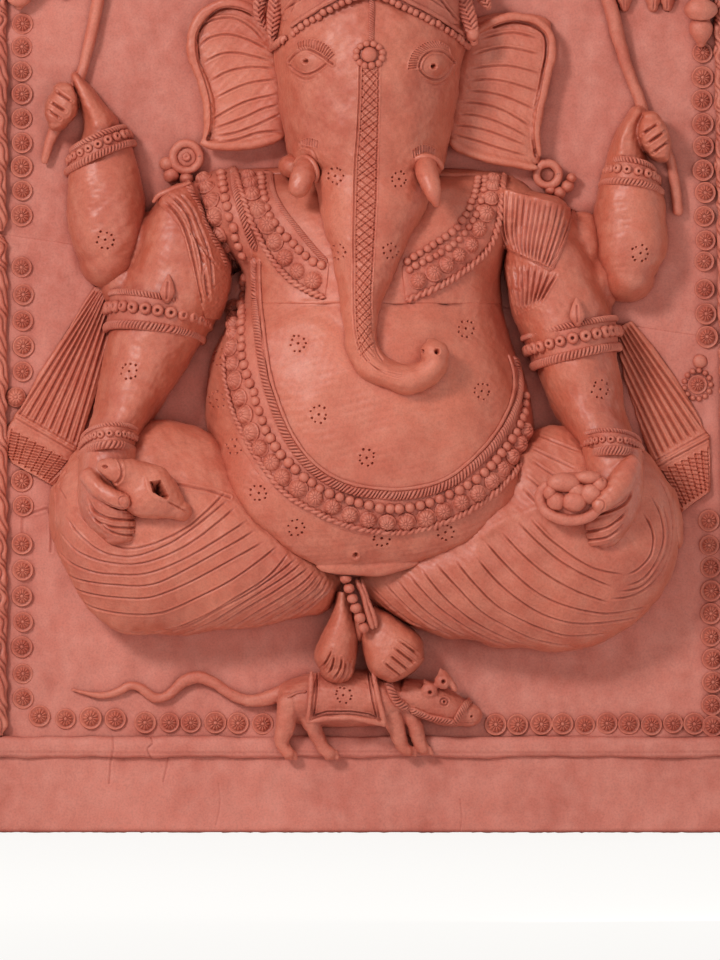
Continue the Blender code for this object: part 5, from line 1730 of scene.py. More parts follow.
def crown_cap():
    """The lobed cap behind the bead string, its lower edge drawn in along the string."""
    cap = loft(stations(CAP, CROWN_FULL + 7), 2.5, 110, 0, 2.3, end=(12, 1030))
    line = np.array([(-106, 942)] + HEADBAND_LEFT + HEADBAND_RIGHT, float)
    below = np.interp(cap.points[:, 0], line[:, 0], line[:, 1]) - 1 - cap.points[:, 1]
    sunk = cap.points[:, 2] - 16 * np.clip(below / 5, 0, 1)
    cap.points[:, 2] = np.where(cap.points[:, 2] > 20, sunk, cap.points[:, 2])
    relief = Relief((-120, 940), (150, 1040))
    for shift in (0, 7, 14, 21):
        left = [
            (-98 + shift * 0.6, 974 + shift * 0.2), (-84 + shift * 0.6, 990 + shift * 0.8),
            (-56, 1006 + shift)
        ]
        right = [
            (124 - shift * 0.5, 966 + shift * 0.3), (106 - shift * 0.5, 984 + shift * 0.8),
            (82, 1000 + shift)
        ]
        for line in (left, right):
            relief.line(line, 1.1, 2.0, 0.3, step=0.9, fade=6)
    return carved(cap, relief, 1)


def headband(ground):
    parts = [
        strand("rope", [(-106, 942), (-96, 946), (-86, 953)], ground, 6.0, 41),
        strand("beads", HEADBAND_LEFT, ground, 4.6, 42, 8.4),
        strand("beads", HEADBAND_RIGHT, ground, 4.5, 43, 8.2),
        strand("plain", [(x, z + 9) for x, z in HEADBAND_LEFT[:4]], ground, 3.4, 44),
        strand("plain", [(x, z + 9) for x, z in HEADBAND_RIGHT[1:]], ground, 3.2, 45),
        strand("cord", [(14, 1002), (14, 985), (13.5, 965), (13, 946)], ground, 3.6, 46),
    ]
    place, normal = ground.touch(11, 931)
    parts.append(stamped(ball(28, 0.62), place, normal, 9.5, lift=1.2))
    for i in range(12):
        angle = 2 * math.pi * i / 12 + 0.2
        spot, lean = ground.touch(11 + 15.5 * math.cos(angle), 931 + 13 * math.sin(angle))
        parts.append(stamped(BEAD, spot, lean, 4.6, lift=1.2))
    return joined(parts)


head_shape = head()
piece("head", head_shape, nodes=["head", "trunk"])
pair("tusk", tusks(), POLISHED)
pair("ear", [
    ear(EAR_LEFT, EAR_RIM_LEFT, EAR_FOOT_LEFT, FOLDS_LEFT, EAR_TOPS[0], 84),
    ear(EAR_RIGHT, EAR_RIM_RIGHT, EAR_FOOT_RIGHT, FOLDS_RIGHT, EAR_TOPS[1], 85),
])
pair("earring", [earring(EARRING_LEFT, 86), earring(EARRING_RIGHT, 87, 0.5)], TRIM)
piece("belly_garland", belly_garland(Ground([belly, chest])), TRIM)
shoulder_ground = Ground([belly, chest, arm["front_arm_left"]])
piece("shoulder_garland", garland(shoulder_ground, SHOULDER_BED, 1.6, 2, SHOULDER_RUNS), TRIM)
pair("collar", collars(Ground([belly, chest, arm["front_arm_right"]])), TRIM)
cap_shape = crown_cap()
piece("headband", headband(Ground([head_shape, cap_shape])), TRIM)


# Cloth in clay


def sheet_of_clay(rows, ground, proud, lines, seed, soft=0):
    """A sheet laid over other forms, with folds pressed in along (points, width, depth)."""
    shape = bed(rows, ground, proud, 1.3, 100, seed, soft)
    relief = relief_over(shape, 5)
    for points, width, depth in lines:
        relief.line(points, width, depth, 0.3, step=depth * 0.6, fade=7)
    return cut(shape, relief)


SHOULDER_CLOTH = [
    (-250, 762, -200, 780),
    (-232, 745, -190, 758),
    (-216, 725, -182, 728),
    (-206, 700, -164, 698),
    (-199, 672, -158, 672),
    (-193, 643, -160, 645),
    (-186, 618, -168, 618),
]
CLOTH_LIP = [
    (-247, 757, 2, 2.2), (-241, 764, 4, 3.4), (-230, 769, 5, 3.8), (-217, 774, 4, 3.2), (-204, 779, 2, 2.0),
]
CLOTH_FOLDS = [
    ([(-234, 757), (-217, 739), (-206, 715), (-200, 690), (-194, 660), (-188, 632)], 1.5, 2.6),
    ([(-226, 764), (-208, 745), (-198, 720), (-190, 696), (-185, 668), (-181, 640)], 1.6, 2.8),
    ([(-216, 766), (-202, 750), (-193, 730), (-184, 706), (-178, 682), (-176, 650)], 1.2, 1.8),
    ([(-203, 726), (-195, 708), (-190, 690), (-188, 664)], 1.2, 2.0),
    ([(-196, 712), (-184, 694), (-171, 679)], 1.2, 1.7),
    ([(-208, 700), (-202, 676), (-195, 650)], 1.1, 1.5),
]
SLEEVE = [
    (160, 774, 256, 747),
    (160, 752, 249, 722),
    (162, 728, 240, 698),
    (172, 704, 229, 675),
]


def cloths(left_ground, right_ground):
    """A smooth drape with a curled lip on one shoulder, a pleated sleeve on the other."""
    chance = np.random.RandomState(5)
    left = sheet_of_clay(SHOULDER_CLOTH, left_ground, 4.5, CLOTH_FOLDS, 6)
    lip = []
    for x, z, lift, reach in CLOTH_LIP:
        lip.append((x, z, max(left_ground.touch(x, z)[0][2], 52) + lift, reach))
    left = joined([left, tube(curve(lip, 1.4), 22, 0.9)])
    rows = np.array(SLEEVE, float)
    pleats = []
    for i in range(14):
        t = (i + 0.6) / 14.4 + chance.uniform(-0.01, 0.01)
        line = rows[:, :2] * (1 - t) + rows[:, 2:] * t
        pleats.append((line, 1.05, 2.3))
    right = sheet_of_clay(SLEEVE, right_ground, 5.0, pleats, 7, soft=90)
    hem = []
    for t in np.linspace(0, 1, 9):
        place = rows[-1, :2] * (1 - t) + rows[-1, 2:] * t
        hem.append(tuple(place + (0, chance.uniform(-1.2, 1.2))))
    edge = strand("back", hem, right_ground, 2.6, 8)
    side = strand("cord", [row[2:] for row in SLEEVE], right_ground, 2.4, 9)
    return left, joined([right, edge, side])


SASH_LEFT = [
    (-318, 656, -290, 652),
    (-366, 580, -306, 560),
    (-412, 503, -338, 462),
    (-430, 474, -350, 440),
    (-418, 444, -366, 416),
]
SASH_RIGHT = [
    (308, 606, 326, 614),
    (318, 545, 372, 556),
    (350, 446, 416, 480),
    (358, 434, 420, 468),
    (385, 385, 420, 410),
]
SASH_LEFT_FOLDS = [
    [(-316, 652), (-420, 505)], [(-312, 652), (-410, 500)], [(-309, 652), (-400, 497)],
    [(-306, 652), (-391, 492)], [(-304, 651), (-382, 488)], [(-301, 650), (-372, 482)],
    [(-299, 648), (-362, 476)], [(-297, 640), (-352, 470)], [(-299, 615), (-343, 467)],
]
SASH_RIGHT_FOLDS = [
    [(322, 612), (412, 486)], [(319, 608), (404, 480)], [(316, 604), (396, 474)], [(313, 600), (388, 469)],
    [(311, 594), (380, 465)], [(309, 586), (372, 460)], [(310, 570), (365, 455)], [(313, 550), (358, 450)],
]


def sash(rows, folds, band, mesh_corners, seed):
    flat = [(ax, az, bx, bz, GAP, 8.0) for ax, az, bx, bz in rows]
    shape = loft(flat, 1.3, 130, fullness=4.5)
    shape = handled(shape, seed, 0.5, 0.1)
    relief = relief_over(shape, 5)
    for i, line in enumerate(folds):
        relief.line(line, 1.35, 2.6, 0.2, step=1.7, fade=5)
        p, q = np.array(line, float)
        shift = np.array([1.6, 1.0]) * (1 if line[1][0] < 0 else -1)
        if i % 2:
            relief.line([p + shift, p + (q - p) * 0.9 + shift], 0.7, 0.6, 0.1, fade=8)
    relief.ridge(band, 4.5, 2.6, smooth=False)
    (p, q) = np.array(band, float)
    across = np.array([-(q - p)[1], (q - p)[0]]) / np.linalg.norm(q - p)
    for side in (-1, 0.1, 1):
        reach = across * 3.8 * side
        relief.line([p + reach, q + reach], 1.0, 1.5 if abs(side) == 1 else 0.9, 0.2, smooth=False)
    net = Relief(relief.low, relief.low + np.array(relief.height.shape) * Relief.STEP)
    a, b, c, d = (np.array(corner, float) for corner in mesh_corners)

    def spot(u, v):
        return (a + (b - a) * u) * (1 - v) + (d + (c - d) * u) * v

    lanes, rungs = 7, 9
    for i in range(lanes + 1):
        wave = 0.012 * math.sin(i * 2.1)
        net.line([spot(i / lanes, 0), spot(i / lanes + wave, 0.5), spot(i / lanes, 1)], 0.95, 1.6, 0.3)
    for i in range(lanes):
        for j in range(rungs):
            v = (j + 0.35 + 0.12 * math.cos(i * 3.1 + j)) / rungs
            net.line(
                [spot((i + 0.08) / lanes, v + 0.05), spot((i + 0.92) / lanes, v - 0.03)], 0.8, 1.3, 0.35,
                smooth=False
            )
    shape = cut(shape, relief)
    return carved(shape, net, 1, 1)


# Arm ornaments


def ring_path(row, proud, bow, pitch):
    """Places and outward normals along the front of an arm's section."""
    ax, az, bx, bz, crest = row
    station = np.array([[ax, az, bx, bz, GAP, crest]])
    ring = d_rings(station, 160, 8, 2.15, bow)[0]
    ring = curve(ring[::4], pitch)
    along = unit(np.gradient(ring, axis=0))
    axis = np.array([-(bz - az), bx - ax, 0.0])
    axis /= np.linalg.norm(axis)
    normals = np.cross(along, axis)
    middle = np.array([(ax + bx) / 2, (az + bz) / 2, crest * 0.3])
    if ((ring - middle) * normals).sum() < 0:
        normals = -normals
    return ring + normals * proud, normals


THIN_CORD = (8, 4.5, 4.0)


def strand_on(kind, places, normals, sizes, seed, pitch, way):
    """A notched band of (width, height, notch), or pierced beads of one size."""
    if kind == "cord":
        width, height, notch = sizes
        return notched_band(places, normals, width, height, notch, seed, 0.45, 0.62, way)
    spots, leans = spaced(places, normals, pitch)
    chance = np.random.RandomState(seed)
    parts = []
    for place, normal in zip(spots, leans):
        own = sizes * chance.uniform(0.92, 1.06)
        lean = normal + chance.normal(size=3) * 0.07
        parts.append(stamped(PIERCED, place, lean, own, chance.uniform(0, 6), own * 0.35))
    return joined(parts)


def arm_band(rows, bow, sizes, seed):
    """Two cords with a row of pierced beads between them, round the front of an arm."""
    low, high = (np.array(row, float) for row in rows)
    lower, bead, upper = sizes
    sleeve = []
    for t in np.linspace(-0.08, 1.08, 9):
        row = low + (high - low) * t
        proud = 1.6 if 0 < t < 1 else -1.5
        a, b = row[:2], row[2:4]
        reach = (b - a) * proud / math.dist(a, b)
        sleeve.append((*(a - reach), *(b + reach), GAP, row[4] + proud))
    parts = [skin(d_rings(np.array(sleeve), 80, 8, 2.15, bow))]
    runs = ((0.0, "cord", lower, 1), (0.55, "pierced", bead, 1), (1.0, "cord", upper, -1))
    for t, kind, size, way in runs:
        row = low + (high - low) * t
        places, normals = ring_path(row, 0.6, bow, 0.6 if kind == "cord" else 1.2)
        parts.append(strand_on(kind, places, normals, size, seed + int(t * 10), bead * 2.02, way))
    return joined(parts)


# The lower and the upper end of each band: both sides of the arm and its depth there
ARMLET_LEFT = [(-303, 604, -190, 590, 94), (-299, 644, -178, 622, 92)]
ARMLET_RIGHT = [(209, 559, 309, 582, 95), (197, 593, 305, 616, 93)]
WRIST_LEFT = [(-335, 442, -267, 446, 138), (-332, 466, -262, 470, 131)]
WRIST_RIGHT = [(267, 441, 338, 441, 138), (260, 466, 334, 464, 128)]
REAR_WRIST_LEFT = [(-350, 792, -273, 826, 60), (-344, 818, -284, 844, 54)]
REAR_WRIST_RIGHT = [(291, 775, 360, 766, 61), (302, 801, 351, 792, 54)]


def flame(x, z, depth, lean):
    """A leaf-shaped tongue standing up from an armlet."""
    rows = [
        (x, z, depth, 4), (x + lean * 0.3, z + 9, depth + 3, 9),
        (x + lean * 0.8, z + 20, depth + 1, 6.5), (x + lean, z + 31, depth - 3, 1.4),
    ]
    shape = tube(curve(rows, 1.0), 26, 0.55)
    relief = Relief((x - 20, z - 10), (x + 20, z + 45))
    relief.line([(x, z + 2), (x + lean * 0.4, z + 12), (x + lean * 0.8, z + 22)], 1.2, 2.0, 0.2)
    return carved(shape, relief, 1)


# Hands


PALM_LEFT = [
    (-345, 806, -272, 816, GAP, 51),
    (-332, 838, -288, 844, GAP, 47),
    (-331, 852, -292, 858, GAP, 45),
    (-337, 872, -306, 875, GAP, 42),
    (-342, 890, -321, 895, GAP, 38),
    (-346, 905, -336, 909, GAP, 32),
]
PALM_RIGHT = [
    (293, 794, 353, 789, GAP, 53),
    (296, 814, 345, 808, GAP, 49),
    (302, 832, 340, 826, GAP, 47),
    (311, 849, 338, 847, GAP, 43),
    (322, 864, 342, 861, GAP, 37),
]
PALM_TIPS = [(-344, 914), (336, 873)]


FIST_LEFT = [
    (-368, 891, -342, 890, 22, 42),
    (-377, 876, -338, 880, 18, 50),
    (-378, 860, -340, 862, 18, 50),
    (-374, 850, -350, 850, 20, 44),
]
FIST_RIGHT = [
    (338, 858, 359, 860, 22, 44),
    (332, 846, 367, 848, 17, 52),
    (334, 829, 373, 830, 15, 52),
    (345, 814, 372, 813, 18, 47),
]
FIST_ENDS = [((-356, 901), (-364, 841)), ((347, 866), (362, 804))]
FIST_CUTS = [
    [[(-364, 890), (-345, 877)], [(-371, 877), (-353, 865)], [(-374, 866), (-359, 856)]],
    [[(337.5, 837.5), (357, 851)], [(344.5, 826.5), (365, 841)], [(351, 815), (370, 829)]],
]


HAND_RIDGES = [
    [(-340, 902), (-329, 877), (-320, 862), (-317, 848)],
    [(332, 866), (322, 850), (314, 832), (312, 815)],
]


def rear_hand(palm, tip, fist, ends, cuts, ridge, seed):
    """A hand seen from its edge, its closed fingers a leaf-shaped block with three cuts."""
    arm_end = loft(palm, 2, 60, 10, end=tip)
    block = loft(fist, 1.2, 60, fullness=3.2, start=ends[0], end=ends[1])
    shape = handled(fused([arm_end, block], 1.25, 2), seed, 0.4)
    relief = relief_over(shape, 4)
    relief.ridge(ridge, 5, 2.4)
    for line in cuts:
        relief.line(line, 1.5, 4.2, 0.12, fade=3)
    return carved(shape, relief, 1)


MITT_LEFT = [
    (-334, 462, -266, 463, 60, 133),
    (-338, 430, -264, 432, 60, 138),
    (-339, 398, -261, 399, 60, 141),
    (-329, 371, -259, 373, 60, 138),
    (-311, 352, -262, 355, 60, 130),
]
MITT_RIGHT = [
    (266, 462, 337, 461, 60, 133),
    (268, 430, 340, 431, 60, 138),
    (264, 400, 339, 402, 60, 141),
    (260, 372, 332, 374, 60, 138),
    (262, 352, 318, 353, 60, 130),
]
GROOVES_LEFT = [
    [(-312, 403), (-303, 396), (-292, 391), (-279, 389), (-270, 391)],
    [(-324, 403), (-316, 387), (-301, 378.5), (-277, 376), (-262, 378)],
    [(-325, 396), (-316, 378), (-298, 368.5), (-277, 366.5), (-260, 369)],
    [(-319, 382), (-305, 367.5), (-288, 359), (-273, 358), (-260, 360)],
]
GROOVES_RIGHT = [
    [(261, 371), (284, 383), (297, 386), (316, 396), (325, 413)],
    [(262, 361), (284, 364), (297, 368), (313, 381), (319, 391)],
    [(263, 351.5), (284, 353), (297, 356.5), (309, 366), (315, 374)],
    [(267, 344), (286, 344.5), (301, 349), (308, 355)],
]
THUMB_LEFT = [(-324, 428, 128, 11), (-312, 414, 140, 11), (-297, 404, 147, 10), (-282, 398, 149, 9.2)]
MITT_ENDS = [(-288, 342), (286, 336)]
THUMB_RIGHT = [(322, 440, 126, 14), (312, 422, 139, 15.5), (299, 405, 149, 13), (286, 393.5, 152, 10)]


def front_hand(rows, end, grooves, thumb, seed):
    """A hand bent over what it holds: its fingers lie close together, grooves between them."""
    palm = loft(rows, 1.6, 80, 12, 2.3, end=end)
    shape = handled(fused([palm, tube(curve(thumb, 1.5), 34)], 1.4, 5), seed, 0.5)
    relief = relief_over(shape, 4)
    for line in grooves:
        relief.line(line, 1.2, 2.6, 0.25, fade=10)
    for first, second in zip(grooves, grooves[1:]):
        first, second = curve(first, count=9), curve(second, count=9)
        relief.ridge((first + second) / 2, 4.2, 1.3)
    x, z = thumb[-1][:2]
    side = 1 if x < 0 else -1
    nail = [
        (x + side * 4, z + 7.5), (x - side * 4, z + 5), (x - side * 5.5, z - 2), (x - side * 1, z - 7.5)
    ]
    relief.line(nail, 0.85, 1.3, 0.2, fade=2)
    return carved(shape, relief, 1)


# What the hands hold


def conch(ground):
    line = [(-292, 437), (-276, 427), (-256, 412), (-236, 400), (-216, 388)]
    girth = [13, 24, 33, 27, 12]
    flat = curve(np.column_stack([line, girth]), 2.0)
    rows = tube_rows(flat[:, :2], flat[:, 2], 0, 1)
    middle = (rows[:, 0:2] + rows[:, 2:4]) / 2
    backs = np.array([max(ground.touch(x, z)[0][2], 100) for x, z in middle])
    backs = np.convolve(np.pad(backs, 6, "edge"), np.ones(13) / 13, "valid")
    rows[:, 4] = backs - 10
    rows[:, 5] = np.minimum(backs + 10 + flat[:, 2] * 0.98, 175)
    body = skin(round_rings(capped(rows, start=(-300, 440), end=(-203, 380)), 60))
    knob = tube(curve([(-306, 440, 146, 9), (-299, 438, 149, 12.5), (-290, 434, 149, 14)], 1.2), 30)
    shape = handled(fused([body, knob], 1.3, 3), 131, 0.6)
    relief = Relief((-325, 355), (-195, 462))
    relief.pit([(-251, 422), (-237, 424), (-227, 404), (-231, 400.5), (-247, 409)], 40, 1.3)
    relief.ridge([(-255, 424), (-249, 407), (-231, 398)], 2.6, 1.4)
    angle = circle(14)
    dimple = np.column_stack([-304.5 + 4.2 * np.cos(angle), 439.5 + 2.9 * np.sin(angle)])
    relief.pit([tuple(p) for p in dimple], 4, 1.4)
    relief.line([(-290, 452), (-284, 440), (-284, 428), (-290, 420)], 1.4, 2.2, 0.3)
    relief.line([(-229, 398), (-218, 392), (-206, 386)], 1.2, 1.6, 0.2, step=1.2, fade=4)
    return carved(shape, relief, 2)


SWEETS = [
    (243, 420, 19, 10.5), (273, 427, 16, 8), (286, 418, 9, 10), (275, 407, 12.5, 11.5),
    (255, 397, 14.5, 11.5), (235, 398, 11, 11), (227, 409, 8, 8.5), (259, 411, 11, 8),
]


BOWL_RIM = [
    (222, 417), (215, 405), (218, 391), (230, 381), (246, 375.5), (262, 376), (276, 382), (289, 394),
]


def bowl_of_sweets(ground):
    """A dish with a thick rim, heaped with balls that press against each other."""
    seat = ground.touch(252, 390)[0][2]
    rows = [(222, 413, 219, 388, seat - 14, seat + 22), (237, 428, 236, 376, seat - 16, seat + 27),
            (258, 433, 258, 370, seat - 16, seat + 29), (278, 430, 278, 378, seat - 16, seat + 27),
            (292, 420, 291, 396, seat - 14, seat + 22)]
    dish = loft(rows, 2, 60, 10, fullness=2.8, start=(213, 398), end=(299, 410))
    rim = tube(curve([(x, z, seat + 21 + 7 * min(1, (x - 213) / 25), 6.6) for x, z in BOWL_RIM], 1.6), 24)
    bowl = handled(fused([dish, rim], 1.4, 3), 141, 0.5)
    balls = []
    for i, (x, z, rx, rz) in enumerate(SWEETS):
        balls.append(lobe(x, z, seat + 25 + (3, 1, 0, 3, 4, 1, -1, 1)[i], rx + 1.4, rz + 1.4, 12))
    heap = handled(joined(balls), 142, 0.9)
    relief = Relief((205, 385), (300, 440))
    relief.dot(238, 427, 1.2, 2.5)
    relief.dot(290, 424, 1.2, 2.5)
    relief.line([(236, 405), (234, 396), (236, 388)], 0.8, 0.8, 0.2, fade=4)
    return joined([bowl, cut(heap, relief)])


STAFF_LEFT = [(-378, 806), (-371, 832), (-351, 872), (-334, 912), (-314, 1000), (-304, 1070)]
STAFF_RIGHT = [
    (381, 746), (377, 780), (370, 812), (346, 850), (334, 882), (318, 925), (298, 1000), (284, 1056),
]


def axe():
    rows = [(x, z, 10, r) for (x, z), r in zip(STAFF_LEFT, (4.5, 7.2, 7.5, 7, 7, 7))]
    rod = tube(curve(rows, 2.5), 22)
    tip = tube(curve([(-304, 1068, 10, 9), (-303, 1082, 10, 8), (-302, 1092, 10, 3)], 1.5), 22)
    outline = curve(
        [
            (-306, 1044), (-284, 1040), (-262, 1028), (-250, 1046), (-246, 1070), (-250, 1096),
            (-264, 1124), (-284, 1104), (-305, 1092)
        ],
        2
    )
    centre = np.array([-286, 1068])
    rings = []
    for reach, depth in ((1.0, 3.0), (1.01, 6.0), (0.9, 9.5), (0.6, 13.0), (0.25, 15.0)):
        flat = centre + (outline - centre) * reach
        rings.append(np.column_stack([flat, np.full(len(flat), depth)]))
    collars = [
        roll([(-316, 1040, 12), (-307, 1042, 18), (-297, 1044, 12)], 4),
        roll([(-312, 1092, 12), (-304, 1094, 18), (-295, 1096, 12)], 4)
    ]
    return handled(joined([rod, tip, skin(rings)] + collars), 151, 0.5)


def goad():
    rows = [(x, z, 10, r) for (x, z), r in zip(STAFF_RIGHT, (6.2, 6.6, 6.6, 6.6, 6.8, 7.4, 8.6, 8.4))]
    rod = tube(curve(rows, 2.5), 22)
    spike = tube(curve([(284, 1054, 10, 9.5), (280, 1070, 10, 8), (277, 1082, 10, 3)], 1.5), 22)
    hook = tube(
        curve([(288, 1040, 10, 7.5), (266, 1053, 10, 7), (246, 1046, 10, 6), (236, 1024, 10, 3.5)], 1.5), 22
    )
    ring = roll([(276, 1024, 12), (292, 1027, 19), (303, 1030, 12)], 4.2)
    return handled(joined([rod, spike, hook, ring]), 152, 0.5)


# Feet, tassel, mouse

FOOT_DEPTH = 78
FOOT_LEFT = [
    (-28, 290, -15, 290, 40, 66),
    (-34, 264, -9, 265, 34, 74),
    (-48, 234, -2, 240, 26, FOOT_DEPTH),
    (-55, 212, -3, 216, 22, FOOT_DEPTH),
    (-48, 197, -6, 200, 22, FOOT_DEPTH * 0.88),
]
FOOT_RIGHT = [
    (18, 272, 2, 246, 40, 64),
    (46, 257, 4, 217, 30, FOOT_DEPTH * 0.96),
    (72, 235, 13, 193, 24, FOOT_DEPTH),
    (77, 213, 30, 181, 22, FOOT_DEPTH * 0.9),
]
TOES_LEFT = [[(-34, 221), (-39.5, 208), (-46, 199.5)], [(-31, 213), (-33, 201), (-39.5, 190)],
             [(-21.5, 211), (-24, 197), (-32.5, 184.5)], [(-17, 206), (-18.5, 193), (-26, 181.5)],
             [(-11, 206), (-12.5, 193), (-19, 182)]]
TOES_RIGHT = [[(46.5, 231.5), (57, 224), (69, 214.5)], [(42, 222), (53, 213.5), (66, 203.5)],
              [(36, 213.5), (47, 204.5), (59, 195)], [(29, 205), (39, 196.5), (50.5, 187.5)]]


def feet():
    left = handled(loft(FOOT_LEFT, 1.4, 90, 12, 2.3, end=(-24, 177)), 161, 0.6)
    right = handled(loft(FOOT_RIGHT, 1.4, 90, 12, 2.9, end=(60, 190)), 162, 0.6)
    right = joined([right, lobe(-1, 252, 44, 9, 22, 22)])
    relief = Relief((-70, 170), (90, 300))
    for line in TOES_LEFT + TOES_RIGHT:
        relief.line(line, 1.1, 3.0, 0.3, fade=5)
    return carved(left, relief, 2), carved(right, relief, 2)


TASSEL = [(-17, 306, 92), (-13, 294, 90), (-9, 282, 88), (-5, 271, 86), (0, 259, 83), (4, 247, 80)]


def waist_tassel():
    parts = []
    for i, (x, z, depth) in enumerate(TASSEL):
        parts.append(lobe(x, z, depth, 7.4 - 0.2 * i, 6.6, 8))
    for rows, girth in (
        ([(-4, 303, 84), (4, 285, 84), (8, 268, 82), (15, 247, 78)], 3.8),
        ([(2, 303, 82), (8, 282, 82), (15, 266, 80), (19, 248, 76)], 3.4),
    ):
        parts.append(roll(rows, girth, squash=1.2))
    return handled(closed(parts), 165, 0.4)


MOUSE_BODY = [
    (-88, 182, -90, 136, GAP, 40),
    (-50, 194, -50, 128, GAP, 50),
    (0, 196, 0, 127, GAP, 50),
    (34, 192, 36, 130, GAP, 46),
    (52, 180, 56, 142, GAP, 38),
]
MOUSE_HEAD = [
    (52, 186, 44, 146, 8, 40),
    (70, 184, 60, 142, 10, 43),
    (92, 181, 82, 135, 10, 43),
    (112, 171, 101, 130, 10, 39),
    (132, 158, 121, 129, 10, 30),
]
MOUSE_LEGS = [
    [(-84, 158, 30, 14), (-90, 128, 26, 11), (-94, 108, 20, 8), (-86, 96, 18, 8)],
    [(-62, 142, 24, 12), (-52, 120, 20, 9), (-44, 104, 17, 7.5), (-36, 96, 17, 7)],
    [(36, 150, 28, 13), (44, 124, 24, 10), (50, 106, 20, 8), (57, 99, 18, 7.5)],
    [(54, 156, 24, 11), (66, 128, 20, 9), (71, 110, 18, 8), (76, 101, 17, 7.5)],
]
MOUSE_TAIL = [
    (-84, 172, 14, 10), (-100, 165, 9, 8.4), (-115, 160, 8, 8), (-130, 158, 8, 7.8), (-145, 162, 8, 7.6),
    (-160, 170, 8, 7.5), (-178, 182, 8, 7.4), (-195, 187, 8, 7.2), (-212, 181, 8, 6.8), (-228, 167, 7, 6.4),
    (-240, 162, 7, 6), (-250, 164, 6, 5.8), (-264, 175, 6, 5.4), (-275, 177, 6, 5), (-288, 171, 5, 4.6),
    (-302, 166, 4, 4), (-320, 166, 3.5, 3.2), (-345, 172, 3, 1.8),
]


def mouse():
    parts = [loft(MOUSE_BODY, 2, 60, 8, start=(-99, 157), end=(64, 160))]
    parts.append(loft(MOUSE_HEAD, 2, 56, 8, end=(147, 137)))
    parts += [tube(curve(rows, 1.8), 24) for rows in MOUSE_LEGS]
    parts.append(tube(curve(MOUSE_TAIL, 2), 20, 0.9))
    for x, z, tip in ((83, 171, (77, 184)), (99, 183, (96, 198))):
        parts.append(lobe(x, z, 40, 10, 10, 7))
        parts.append(tube(curve([(x, z + 2, 40, 7), (*tip, 38, 2.2)], 1.2), 20, 0.7))
    parts.append(roll([(98, 196, 37), (107, 184, 39), (115, 171, 38)], 3.6))
    for x, z in ((-84, 92), (-34, 93), (60, 96), (79, 98)):
        for i in range(3):
            parts.append(
                tube(curve([(x - 6 + i * 5.2, z + 4, 17, 3.0), (x - 5 + i * 5.8, z - 2.5, 15, 2.6)], 1), 14)
            )
    parts.append(roll([(-58, 194, 46), (-59, 170, 50), (-61, 150, 51), (-63, 133, 47)], 3.0))
    parts.append(roll([(-62, 133, 47), (-40, 138, 49), (-10, 139, 50), (12, 135, 50), (30, 130, 46)], 3.0))
    parts.append(roll([(16, 194, 48), (20, 172, 50), (25, 150, 50), (30, 130, 46)], 3.0))
    shape = handled(fused(parts, 1.3, 1), 171, 0.5)
    relief = Relief((-105, 86), (150, 204))
    relief.line(
        [
            (-51, 192), (-52, 168), (-54, 150), (-56, 141), (-40, 146), (-10, 146), (10, 143), (20, 139),
            (15, 160), (10, 192)
        ],
        0.9, 1.9, 0.3, smooth=False
    )
    relief.cluster(-20, 166, 9, 10)
    for x, z in ((84, 169), (100, 182)):
        relief.dot(x, z, 2.4, 6)
    relief.dot(101, 158, 1.4, 3, 0.4)
    angle = np.linspace(0, 2 * math.pi, 24)
    relief.line(np.column_stack([101 + 4.5 * np.cos(angle), 158 + 4.5 * np.sin(angle)]), 0.9, 1.5, 0.4)
    relief.dot(134, 140, 1.6, 4)
    relief.line([(114, 133), (126, 132), (140, 133)], 0.9, 1.6, 0.2, fade=3)
    cut_shape = carved(shape, relief, 1)
    skin_ground = Ground([cut_shape])
    straps = [strand("cord", path, skin_ground, size, 172 + i, lift=1.2) for i, (path, size) in enumerate((
        ([(31, 188), (36, 172), (44, 158), (60, 150)], 5.4),
        ([(60, 150), (72, 145), (85, 140), (100, 137), (114, 134)], 4.8),
        ([(112, 130), (118, 142), (124, 151), (131, 159)], 4.2),
        ([(-87, 163), (-74, 169), (-64, 170)], 2.0),
    ))]
    return joined([cut_shape] + straps)


left_arms = Ground([belly, chest, arm["front_arm_left"]])
right_arms = Ground([belly, chest, arm["front_arm_right"], lobe(188, 742, 20, 34, 48, 46)])
shoulder_cloth, sleeve = cloths(left_arms, right_arms)
piece("shoulder_cloth", shoulder_cloth, POLISHED)
piece("sleeve", sleeve, POLISHED)
SASH_LEFT_NET = [(-418, 484), (-350, 446), (-372, 422), (-424, 452)]
SASH_RIGHT_NET = [(418, 462), (362, 434), (386, 392), (420, 414)]
pair("sash", [
    sash(SASH_LEFT, SASH_LEFT_FOLDS, [(-410, 500), (-339, 459)], SASH_LEFT_NET, 111),
    sash(SASH_RIGHT, SASH_RIGHT_FOLDS, [(352, 441), (418, 477)], SASH_RIGHT_NET, 112),
])
pair("armlet", [
    joined([arm_band(ARMLET_LEFT, 10, ((11, 5.5, 4.6), 7.5, THIN_CORD), 201), flame(-231, 638, 96, 2)]),
    joined([arm_band(ARMLET_RIGHT, 4, ((11, 5.5, 4.6), 7.3, THIN_CORD), 211), flame(260, 610, 98, -1)]),
], TRIM)
pair("bangle_front", [
    arm_band(WRIST_LEFT, 22, ((11, 5.0, 4.8), 4.9, (6, 3.5, 3.6)), 221),
    arm_band(WRIST_RIGHT, 18, ((12, 5.0, 3.6), 4.8, (6, 3.5, 3.6)), 231),
], TRIM)
pair("bangle_rear", [
    arm_band(REAR_WRIST_LEFT, 5, ((9, 5.0, 4.2), 5.9, THIN_CORD), 241),
    arm_band(REAR_WRIST_RIGHT, 10, ((9, 5.0, 4.2), 5.9, THIN_CORD), 251),
], TRIM)
